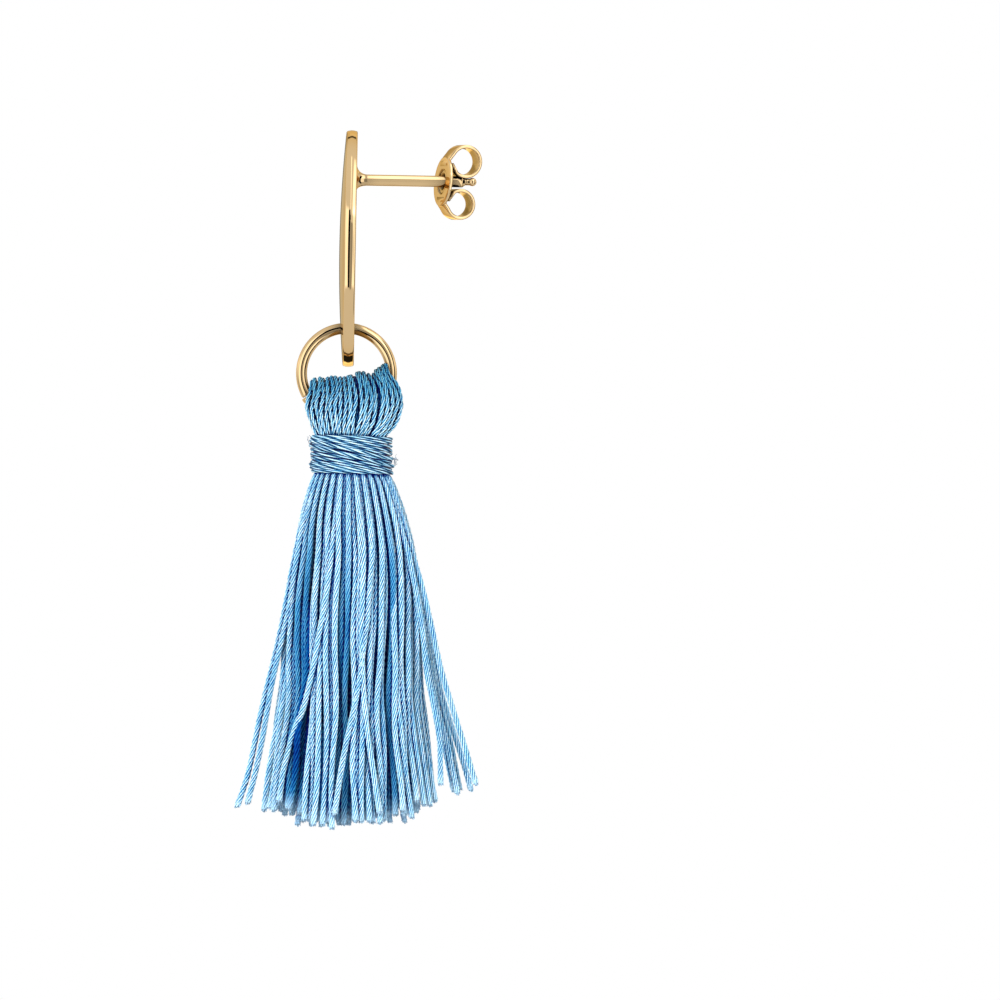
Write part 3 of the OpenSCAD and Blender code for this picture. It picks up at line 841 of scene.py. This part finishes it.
def angle_prop(name, description, degrees):
    """Angle that a user can set, its default in degrees."""
    return bpy.props.FloatProperty(
        name=name, description=description, default=math.radians(degrees), subtype="ANGLE")


def colour_prop(name, description, code):
    """Colour that a user can set, its default an sRGB hex value."""
    return bpy.props.FloatVectorProperty(
        name=name, description=description, default=linear(code), size=3, min=0, max=1, subtype="COLOR")


class MetalSettings(bpy.types.PropertyGroup):
    """Sizes and colour of the metal pieces."""
    gold: colour_prop("Gold", "Colour of the polished gold plate", "#e9c998")
    dome_rise: length_prop("Dome rise", "How far the disc's front stands proud of its rim", 0.42)
    rim: length_prop("Rim", "Thickness of the disc at its rim", 0.93)
    hole_d: length_prop("Ring hole", "Diameter of the hole for the jump ring", 1.6)
    hole_bridge: length_prop("Bridge", "Metal between the ring hole and the disc's lower edge", 2.6)
    post_d: length_prop("Post", "Diameter of the ear post", 0.92)
    wire_d: length_prop("Ring wire", "Diameter of the jump ring's wire", 0.9)
    sheet: length_prop("Nut sheet", "Thickness of the nut's sheet", 0.28)
    nut_at: length_prop("Nut place", "Distance of the nut's plate from the disc", 6.95)
    nut_d: length_prop("Nut plate", "Diameter of the nut's round plate", 4.1)
    band_w: length_prop("Nut band", "Width of the nut's curled bands", 1.85)
    nut_yaw: angle_prop("Nut turn", "Turn of the nut about the vertical", 18)
    nut_lean: angle_prop("Nut lean", "Lean of the nut towards the post's tip", 5)


class ThreadSettings(bpy.types.PropertyGroup):
    """Sizes and colours of the threads."""
    skirt_d: length_prop("Skirt thread", "Diameter of a hanging thread", 0.5)
    head_d: length_prop("Head thread", "Diameter of a thread where the loops press together", 0.38)
    wrap_d: length_prop("Wrap thread", "Diameter of the winding thread", 0.3)
    lay: length_prop("Lay", "Length in which a ply goes once round a hanging thread", 3.2)
    inside: bpy.props.IntProperty(
        name="Inner threads", description="Number of threads inside the skirt", default=74, min=0, max=120)
    seed: bpy.props.IntProperty(
        name="Seed", description="Seed of everything random in the tassel", default=7)
    # The deep colour is painted shade in the grooves between plies, the light one a painted highlight on a
    # ply's crown, and the hollow tints painted shade where threads lie deep
    blue_groove_shade: colour_prop("Deep blue", "Thread colour between two plies", "#1f70ab")
    blue_mid: colour_prop("Blue", "Thread colour on a ply's side", "#90d4ef")
    blue_crown_highlight: colour_prop("Light blue", "Thread colour on a ply's crown", "#eaf3f4")
    blue_hollow_shade: colour_prop("Hollow blue", "Tint of the threads where they lie deep", "#3c90be")
    head_hollow_shade: colour_prop("Head hollow", "Tint of the head's threads where they lie deep", "#40829e")
    # The winding's deep colour is painted shade in its grooves, and its light one a painted highlight on a
    # ply's crown
    wrap_groove_shade: colour_prop("Wrap deep", "Winding colour between two plies", "#082c50")
    wrap_mid: colour_prop("Wrap", "Winding colour on a ply's side", "#70b2d5")
    wrap_crown_highlight: colour_prop("Wrap light", "Winding colour on a ply's crown", "#d8eef4")


class StageSettings(bpy.types.PropertyGroup):
    """Camera and floor."""
    pixel: length_prop("Pixel", "Size that one pixel of the picture shows", 0.082, precision=6)
    lens: bpy.props.FloatProperty(
        name="Lens", description="Focal length of the camera", default=300, unit="CAMERA")
    roll: angle_prop("Roll", "Roll of the camera", 1.0)
    floor_drop: length_prop("Floor", "Height of the floor below the origin", 400)


def ready(piece, body, node):
    """Attach a finished piece to its body and hide the solid part's node that it stands in for."""
    if body == "tassel":
        # The gold in the photo mirrors the light tent alone, with no blue in it
        piece.visible_glossy = False
    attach(piece, body)
    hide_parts(node)


def between(tree, value, low, high, soft):
    """One where a value lies between two others, and zero outside, with a soft edge."""
    return add(tree, "ShaderNodeMath", [
        add(tree, "ShaderNodeMapRange", {
            "Value": value,
            "From Min": at - soft,
            "From Max": at + soft,
            "To Min": before,
            "To Max": 1 - before,
        })
        for at, before in ((low, 0), (high, 1))
    ], operation="MULTIPLY")


class EARRING_OT_stage(bpy.types.Operator):
    """Make the camera, the lamps, the pale floor and the light tent"""
    bl_idname = "earring.stage"
    bl_label = "Stage"

    def execute(self, context):
        settings = context.scene.earring_stage
        context.scene.view_settings.view_transform = "Standard"
        self.camera(context.scene, settings)
        self.floor(settings)
        self.light_tent(context.scene)
        # Soft key from the upper left of the camera, a weak fill and a light for the back
        for name, place, size, power in (
            ("Key light", (0.55, -0.26, 0.2), 0.3, 5.7),
            ("Fill light", (0.45, 0.5, 0.0), 0.35, 2.6),
            ("Back light", (-0.6, -0.25, 0.25), 0.4, 5.6),
        ):
            lamp = bpy.data.lights.new(name, "AREA")
            lamp.size = size
            lamp.energy = power
            stand = new_object(name, lamp)
            stand.location = place
            aim = Vector((0, 0, -0.025)) - Vector(place)
            stand.rotation_euler = aim.to_track_quat("-Z", "Y").to_euler()
            # The gold mirrors the tent's panels, and not the lamps outside it
            stand.visible_glossy = False
        return {"FINISHED"}

    @staticmethod
    def camera(scene, settings):
        """Camera straight beside the disc, aimed at the middle of the picture."""
        right = Vector((0, math.cos(settings.roll), math.sin(settings.roll)))
        up = Vector((0, -math.sin(settings.roll), math.cos(settings.roll)))
        middle = (right * MIDDLE_RIGHT - up * MIDDLE_DOWN) * settings.pixel
        place = Vector((PICTURE * settings.pixel * settings.lens / SENSOR, 0, middle.z))
        back = (place - middle).normalized()
        right = up.cross(back).normalized()
        up = back.cross(right)
        camera = bpy.data.cameras.new("Camera")
        camera.lens = settings.lens
        camera.sensor_width = SENSOR
        camera.clip_start, camera.clip_end = 0.01, 100
        scene.camera = new_object("Camera", camera)
        scene.camera.matrix_world = (Matrix.Translation(place)
                                     @ Matrix((right, up, back)).transposed().to_4x4())

    @staticmethod
    def floor(settings):
        """Matt white board well below the earring."""
        material, tree = new_material("Matt white board")
        place = add(tree, "ShaderNodeTexCoord").outputs["Object"]
        grain = add(tree, "ShaderNodeTexNoise", {"Vector": place, "Scale": 400, "Detail": 2})
        seen = add(tree, "ShaderNodeLightPath").outputs["Is Camera Ray"]
        shader = add(tree, "ShaderNodeBsdfPrincipled", {
            "Base Color": add(tree, "ShaderNodeValToRGB", {"Fac": grain},
                              stops=[(0, linear("#f6f6f5")), (1, linear("#fdfdfc"))]),
            "Roughness": 0.8,
            # Lit to look nearly white, without throwing more light up at the earring
            "Emission Strength": add(tree, "ShaderNodeMath", [seen, 0.4], operation="MULTIPLY"),
        })
        add(tree, "ShaderNodeOutputMaterial", {"Surface": shader})
        shape = bmesh.new()
        bmesh.ops.create_circle(shape, cap_ends=True, segments=96, radius=3000)
        bmesh.ops.translate(shape, vec=(0, 0, -settings.floor_drop / MM), verts=shape.verts)
        board = finish_mesh(shape, "floor", material)
        # The gold mirrors the light tent alone
        board.visible_glossy = False

    @staticmethod
    def light_tent(scene):
        """White to look at, dim all round for soft shade, and panels and gaps for the gold to mirror."""
        world = bpy.data.worlds.new("Light tent")
        scene.world = world
        world.use_nodes = True
        tree = world.node_tree
        tree.nodes.clear()
        place = add(tree, "ShaderNodeTexCoord").outputs["Generated"]
        x, y, z = add(tree, "ShaderNodeSeparateXYZ", [place]).outputs
        # Angles from the front, sideways and upwards
        side = add(tree, "ShaderNodeMath", [y, x], operation="ARCTAN2")
        lift = add(tree, "ShaderNodeMath", [z, x], operation="ARCTAN2")
        steep = add(tree, "ShaderNodeMath", [z], operation="ABSOLUTE")
        wide = add(tree, "ShaderNodeMath", [y], operation="ABSOLUTE")
        to_front = add(tree, "ShaderNodeMath", [x, 0.5, 0.5], operation="MULTIPLY_ADD")
        tent = add(tree, "ShaderNodeValToRGB", {"Fac": to_front}, stops=[
            (0.012, (0.66, 0.57, 0.36)),
            (0.09, (0.84, 0.8, 0.72)),
            (0.32, (0.86, 0.85, 0.83)),
            (1.0, (0.84, 0.84, 0.83)),
        ])
        # The tent's two ends, which the disc's front and back mirror, brighten upwards
        light = add(tree, "ShaderNodeMix", {
            "Factor": between(tree, wide, 0.93, 2, 0.04),
            "A": add(tree, "ShaderNodeMapRange",
                     {"Value": z, "From Min": -0.6, "From Max": 0.1, "To Min": 0.92}),
            "B": add(tree, "ShaderNodeMapRange",
                     {"Value": z, "From Min": -0.22, "From Max": 0.22, "To Min": 0.5, "To Max": 1.55}),
        })
        deg = math.radians
        for side_low, side_high, lift_low, lift_high, wide_high, steep_high, soft, value in TENT_PANELS:
            limits = [between(tree, steep, -1, steep_high, 0.03)]
            if wide_high < 1:
                limits.append(between(tree, wide, -1, wide_high, 0.05))
            for turn, low, high in ((side, side_low, side_high), (lift, lift_low, lift_high)):
                if (low, high) != (-180, 180):
                    limits.append(between(tree, turn, deg(low), deg(high), deg(soft)))
            panel = limits[0]
            for limit in limits[1:]:
                panel = add(tree, "ShaderNodeMath", [panel, limit], operation="MULTIPLY")
            light = add(tree, "ShaderNodeMix", {"Factor": panel, "A": light, "B": value})
        # Overhead panels: a narrow one that the post mirrors, and one to the right for the disc's rim
        overhead = between(tree, lift, deg(33), deg(100), deg(2))
        for y_low, y_high, soft, value in ((-0.02, 0.04, 0.01, 1.5), (0.3, 0.7, 0.04, 1.6)):
            panel = between(tree, y, y_low, y_high, soft)
            panel = add(tree, "ShaderNodeMath", [overhead, panel], operation="MULTIPLY")
            light = add(tree, "ShaderNodeMath", [panel, value, light], operation="MULTIPLY_ADD")
        mirrored = add(tree, "ShaderNodeBackground", {"Color": tent, "Strength": light})
        ambient = add(tree, "ShaderNodeBackground", {"Color": (1, 1, 1, 1), "Strength": 0.24})
        seen = add(tree, "ShaderNodeBackground", {"Color": (1, 1, 1, 1), "Strength": 1.0})
        ray = add(tree, "ShaderNodeLightPath").outputs
        inside = add(tree, "ShaderNodeMixShader", [ray["Is Diffuse Ray"], mirrored, ambient])
        both = add(tree, "ShaderNodeMixShader", [ray["Is Camera Ray"], inside, seen])
        add(tree, "ShaderNodeOutputWorld", {"Surface": both})


class EARRING_OT_disc_and_post(bpy.types.Operator):
    """Make the domed disc with its ring hole and the soldered ear post"""
    bl_idname = "earring.disc_and_post"
    bl_label = "Disc and post"

    def execute(self, context):
        settings = context.scene.earring_metal
        gold = polished_gold(settings)
        rise, rim, hole_r = settings.dome_rise / MM, settings.rim / MM, settings.hole_d / MM / 2
        dome_span = DISC_R - DISC_EDGE
        dome_r = (dome_span ** 2 + rise ** 2) / (2 * rise)
        hole_z = DISC_Z - DISC_R + settings.hole_bridge / MM + hole_r

        blank = finish_mesh(self.disc(rim, rise, dome_span, dome_r), "disc_blank", gold)
        tall = rim + rise + 1
        drill = turned([(0, -1), (hole_r, -1), (hole_r, tall), (0, tall)], 96,
                       lambda a, b, h: (a, -h, hole_z + b))
        drill = finish_mesh(drill, "hole_cutter", gold, smooth=False)
        cut = blank.modifiers.new("Ring hole", "BOOLEAN")
        cut.object = drill
        cut.operation = "DIFFERENCE"
        cut.solver = "EXACT"
        holed = evaluated_mesh(blank)
        bpy.data.objects.remove(drill)
        bpy.data.objects.remove(blank)

        shape = bmesh.new()
        shape.from_mesh(holed)
        bpy.data.meshes.remove(holed)
        bmesh.ops.scale(shape, vec=(1 / MM, 1 / MM, 1 / MM), verts=shape.verts)
        piece = finish_mesh(joined([shape, self.post(settings.post_d / MM / 2)]), "gold_disc_and_post", gold)
        self.true_normals(piece.data, rim, rise, dome_r, hole_z, hole_r)
        ready(piece, "stud", "disc_and_post")
        return {"FINISHED"}

    @staticmethod
    def disc(rim, rise, dome_span, dome_r):
        """Domed disc with rounded edges and a slightly bulging rim."""
        bulge, edge = 0.05, DISC_EDGE
        inset = DISC_R - bulge
        profile = [(0, 0)] + [(inset * s, 0) for s in (0.3, 0.6, 0.85)]
        profile += arc(inset - edge, edge, edge, -90, 0, 6)
        profile += [
            (DISC_R - bulge * (2 * s - 1) ** 2, edge + (rim - 2 * edge) * s)
            for s in np.linspace(0, 1, 9)[1:-1]
        ]
        profile += arc(inset - edge, rim - edge, edge, 0, 90, 6)
        profile += [
            (r, rim + rise - dome_r + math.sqrt(dome_r ** 2 - r ** 2))
            for r in dome_span * np.linspace(0.98, 0, 32)
        ]
        return turned(profile, 256, lambda a, b, h: (a, -h, DISC_Z + b))

    @staticmethod
    def post(post_r):
        """Ear post with its waist and knob, and the solder that runs up it and out over the disc's back."""
        waist_r, knob_r = 0.28, 0.34
        waist = POST_LEN - 1.15
        solder_out, solder_up = 0.62, 0.85
        profile = [(0, -0.3), (post_r + solder_out, -0.3)]
        profile += [
            (post_r + solder_out * (1 - math.sin(t)), solder_up * (1 - math.cos(t)))
            for t in np.radians(np.linspace(0, 90, 15))
        ]
        profile += [(post_r, y) for y in np.linspace(solder_up + 0.2, waist - 0.06, 24)]
        profile += arc(post_r - 0.12, waist - 0.06, 0.12, 0, 45, 3)
        profile += arc(waist_r + 0.1, waist + 0.26, 0.1, 225, 180, 3)
        profile += arc(waist_r + 0.1, POST_LEN - knob_r - 0.24, 0.1, 180, 140, 3)
        profile += arc(0, POST_LEN - knob_r, knob_r, -20, 90, 12)[:-1] + [(0, POST_LEN)]
        shape = turned(profile, 96, lambda a, b, h: (a, h, b))
        # The solder reaches further above the post than below it
        for vert in shape.verts:
            r = math.hypot(vert.co.x, vert.co.z)
            if r > post_r + 1e-4:
                grown = post_r + (r - post_r) * (0.9 + 0.3 * vert.co.z / r)
                vert.co.x *= grown / r
                vert.co.z *= grown / r
        return shape

    @staticmethod
    def true_normals(mesh, rim, rise, dome_r, hole_z, hole_r):
        """Exact normals on the dome, the back and the hole's wall, so reflections run even."""
        centre = Vector((0, -(rim + rise - dome_r), DISC_Z)) * MM
        normals = [Vector(v.vector) for v in mesh.corner_normals]
        for face in mesh.polygons:
            n, middle = face.normal, face.center
            r = math.hypot(middle.x, middle.z - DISC_Z * MM) / MM
            from_hole = math.hypot(middle.x, middle.z - hole_z * MM) / MM
            for loop in face.loop_indices:
                place = mesh.vertices[mesh.loops[loop].vertex_index].co
                if middle.y < 0.0002 and r < DISC_R - 0.14 and n.y < -0.9:
                    normals[loop] = (place - centre).normalized()
                elif abs(middle.y) < 1e-6 and n.y > 0.9:
                    normals[loop] = Vector((0, 1, 0))
                elif from_hole < hole_r + 0.02 and abs(n.y) < 0.3 and middle.y < 0.0001:
                    normals[loop] = Vector((-place.x, 0, hole_z * MM - place.z)).normalized()
        mesh.normals_split_custom_set([tuple(v) for v in normals])


class EARRING_OT_butterfly_nut(bpy.types.Operator):
    """Make the nut with its round plate, dimple and two curled bands"""
    bl_idname = "earring.butterfly_nut"
    bl_label = "Butterfly nut"

    def execute(self, context):
        settings = context.scene.earring_metal
        sheet, band, plate_r = settings.sheet / MM, settings.band_w / MM, settings.nut_d / MM / 2
        post_r = settings.post_d / MM / 2
        whole = joined([self.plate(sheet, plate_r, post_r + 0.06)] + [
            self.curl(sheet, band, math.sqrt(plate_r ** 2 - (band / 2) ** 2), post_r, diameter, way)
            for diameter, way in ((2.75, 1), (2.54, -1))
        ])
        place = (Matrix.Translation((0, settings.nut_at / MM, 0))
                 @ Matrix.Rotation(-settings.nut_lean, 4, "X")
                 @ Matrix.Rotation(settings.nut_yaw, 4, "Z"))
        bmesh.ops.transform(whole, matrix=place, verts=whole.verts)
        piece = finish_mesh(whole, "gold_butterfly_nut", polished_gold(settings))
        ready(piece, "nut", "butterfly_nut")
        return {"FINISHED"}

    @staticmethod
    def plate(sheet, plate_r, bore):
        """Round plate, slightly dished, whose dimple leads the post in."""
        corner = 0.09
        ring = [(bore + 0.02, sheet + 0.34), (bore, sheet + 0.2), (bore + 0.06, 0.22), (bore + 0.28, 0.05)]
        ring += arc(1.15, 0.22, 0.22, 200, 270, 5)
        ring += [(plate_r * 0.8, 0.02)]
        ring += arc(plate_r - corner, corner, corner, -90, 0, 4)
        ring += arc(plate_r - corner, sheet - corner, corner, 0, 90, 4)
        ring += [(1.3, sheet)] + arc(bore + 0.42, sheet + 0.25, 0.25, 270, 215, 4)
        ring += [(bore + 0.12, sheet + 0.42)]
        shape = bmesh.new()
        rows = []
        for k in range(128):
            a = math.tau * k / 128
            rows.append([shape.verts.new((r * math.sin(a), h, r * math.cos(a))) for r, h in ring])
        return skin(shape, rows, endless=True)

    @staticmethod
    def curl(sheet, band, edge_z, post_r, diameter, way):
        """Band that leaves the plate's edge and curls back beside the post, above it or below."""
        rest = post_r + 0.03 + (diameter - 0.1) / 2
        path = [(sheet * 0.5, edge_z - 0.55), (sheet * 0.5, edge_z - 0.25), (sheet * 0.52, edge_z - 0.08)]
        path += arc(sheet + diameter / 2, rest, (diameter - sheet) / 2, 152, -125, 44)
        path += [(1.5 * sheet + 0.05, 1.5)]
        shape = swept_band(path, band, sheet, 0.1)
        if way < 0:
            bmesh.ops.scale(shape, vec=(1, 1, -1), verts=shape.verts)
            bmesh.ops.recalc_face_normals(shape, faces=shape.faces)
        return shape


class EARRING_OT_jump_ring(bpy.types.Operator):
    """Make the open jump ring with its cut"""
    bl_idname = "earring.jump_ring"
    bl_label = "Jump ring"

    def execute(self, context):
        settings = context.scene.earring_metal
        wire_r = settings.wire_d / MM / 2
        line_r = RING_R - wire_r
        cut_at, cut, edge = math.radians(59), 0.06 / line_r, 0.05
        steps, sides = 220, 28
        shape = bmesh.new()
        rows = []
        for k in range(steps + 1):
            # From just after the cut, once round, to just before it; one end springs out, the other aside
            share = k / steps
            a = -math.pi / 2 - cut_at + cut / 2 + share * (math.tau - cut)
            out = Vector((0, math.cos(a), math.sin(a)))
            spring = 0.13 * max(0.0, 1 - share * 14) ** 2
            aside = 0.1 * max(0.0, share * 20 - 19)
            from_middle = line_r + spring
            centre = Vector((aside, RING_Y + from_middle * math.cos(a), RING_Z + from_middle * math.sin(a)))
            r = wire_r - (edge if k in (0, steps) else 0)
            rows.append([
                shape.verts.new(centre + out * r * math.cos(b) + Vector((r * math.sin(b), 0, 0)))
                for b in (math.tau * j / sides for j in range(sides))
            ])
        piece = finish_mesh(skin(shape, rows), "gold_jump_ring", polished_gold(settings))
        ready(piece, "ring", "jump_ring")
        return {"FINISHED"}


class EARRING_OT_tassel_head(bpy.types.Operator):
    """Make the threads folded over the jump ring"""
    bl_idname = "earring.tassel_head"
    bl_label = "Tassel head"

    def execute(self, context):
        settings = context.scene.earring_thread
        rng = np.random.default_rng(settings.seed)
        loops = head_loops(rng, 0) + head_loops(rng, 1) + head_loops(rng, 2)
        sweep("head_threads", loops, "tassel_head", {
            "Diameter": settings.head_d,
            "Plies": 4,
            "Lay length": settings.lay * 0.85,
            "Groove depth": 0.5,
            "Seed": settings.seed,
            "Material": folded_thread(settings),
        })
        return {"FINISHED"}


class EARRING_OT_neck_wrap(bpy.types.Operator):
    """Make the thread wound round the neck and its loose fibres"""
    bl_idname = "earring.neck_wrap"
    bl_label = "Neck wrap"

    def execute(self, context):
        settings = context.scene.earring_thread
        rng = np.random.default_rng(settings.seed + 1)
        finish = winding_thread(settings)
        sweep("wrap_thread", [wrap_line(rng)], "neck_wrap", {
            "Diameter": settings.wrap_d,
            "Plies": 3,
            "Lay length": settings.lay * 1.3,
            "Rings per turn": 16,
            "Seed": settings.seed,
            "Material": finish,
        })
        sweep("wrap_fluff", wrap_fluff(rng), "neck_wrap",
              {**FIBRE, "Diameter": 0.045 * MM, "Material": finish})
        return {"FINISHED"}


class EARRING_OT_tassel_skirt(bpy.types.Operator):
    """Make the hanging threads, the strands that stand off and the frayed ends"""
    bl_idname = "earring.tassel_skirt"
    bl_label = "Tassel skirt"

    def execute(self, context):
        settings = context.scene.earring_thread
        finish = tassel_thread(settings)
        rng = np.random.default_rng(settings.seed + 2)
        layers = {
            "skirt_front": skirt_face(rng, FRONT_LOCKS, 1),
            "skirt_back": skirt_face(rng, random_locks(rng), -1),
            "skirt_loose": loose_lines(rng),
            "skirt_inside": skirt_inside(rng, settings.inside),
        }
        for name, paths in layers.items():
            sweep(name, paths, "tassel_skirt", {
                "Diameter": settings.skirt_d,
                "Plies": 6,
                "Lay length": settings.lay,
                "Rings per turn": 6 if name == "skirt_inside" else 10,
                "Seed": settings.seed,
                "Material": finish,
            })
        ends = frayed_ends(rng, sum(layers.values(), []), 14)
        sweep("skirt_frayed_ends", ends, "tassel_skirt",
              {**FIBRE, "Diameter": 0.1 * MM, "Material": finish})
        return {"FINISHED"}


OPERATORS = [
    EARRING_OT_stage,
    EARRING_OT_disc_and_post,
    EARRING_OT_butterfly_nut,
    EARRING_OT_jump_ring,
    EARRING_OT_tassel_head,
    EARRING_OT_neck_wrap,
    EARRING_OT_tassel_skirt,
]


class EARRING_PT_panel(bpy.types.Panel):
    """Pieces of the earring, in the order in which they are made"""
    bl_idname = "EARRING_PT_panel"
    bl_label = "Tassel earring"
    bl_space_type = "VIEW_3D"
    bl_region_type = "UI"
    bl_category = "Earring"

    def draw(self, context):
        for operator in OPERATORS:
            self.layout.operator(operator.bl_idname)
        for group in (context.scene.earring_metal, context.scene.earring_thread, context.scene.earring_stage):
            box = self.layout.box()
            for name in group.__annotations__:
                box.prop(group, name)


CLASSES = [MetalSettings, ThreadSettings, StageSettings, *OPERATORS, EARRING_PT_panel]


def register():
    for cls in CLASSES:
        bpy.utils.register_class(cls)
    bpy.types.Scene.earring_metal = bpy.props.PointerProperty(type=MetalSettings)
    bpy.types.Scene.earring_thread = bpy.props.PointerProperty(type=ThreadSettings)
    bpy.types.Scene.earring_stage = bpy.props.PointerProperty(type=StageSettings)


def unregister():
    del bpy.types.Scene.earring_metal
    del bpy.types.Scene.earring_thread
    del bpy.types.Scene.earring_stage
    for cls in reversed(CLASSES):
        bpy.utils.unregister_class(cls)


def main():
    """Make every piece."""
    register()
    bpy.ops.earring.stage()
    bpy.ops.earring.disc_and_post()
    bpy.ops.earring.butterfly_nut()
    bpy.ops.earring.jump_ring()
    bpy.ops.earring.tassel_head()
    bpy.ops.earring.neck_wrap()
    bpy.ops.earring.tassel_skirt()


if __name__ == "__main__":
    main()
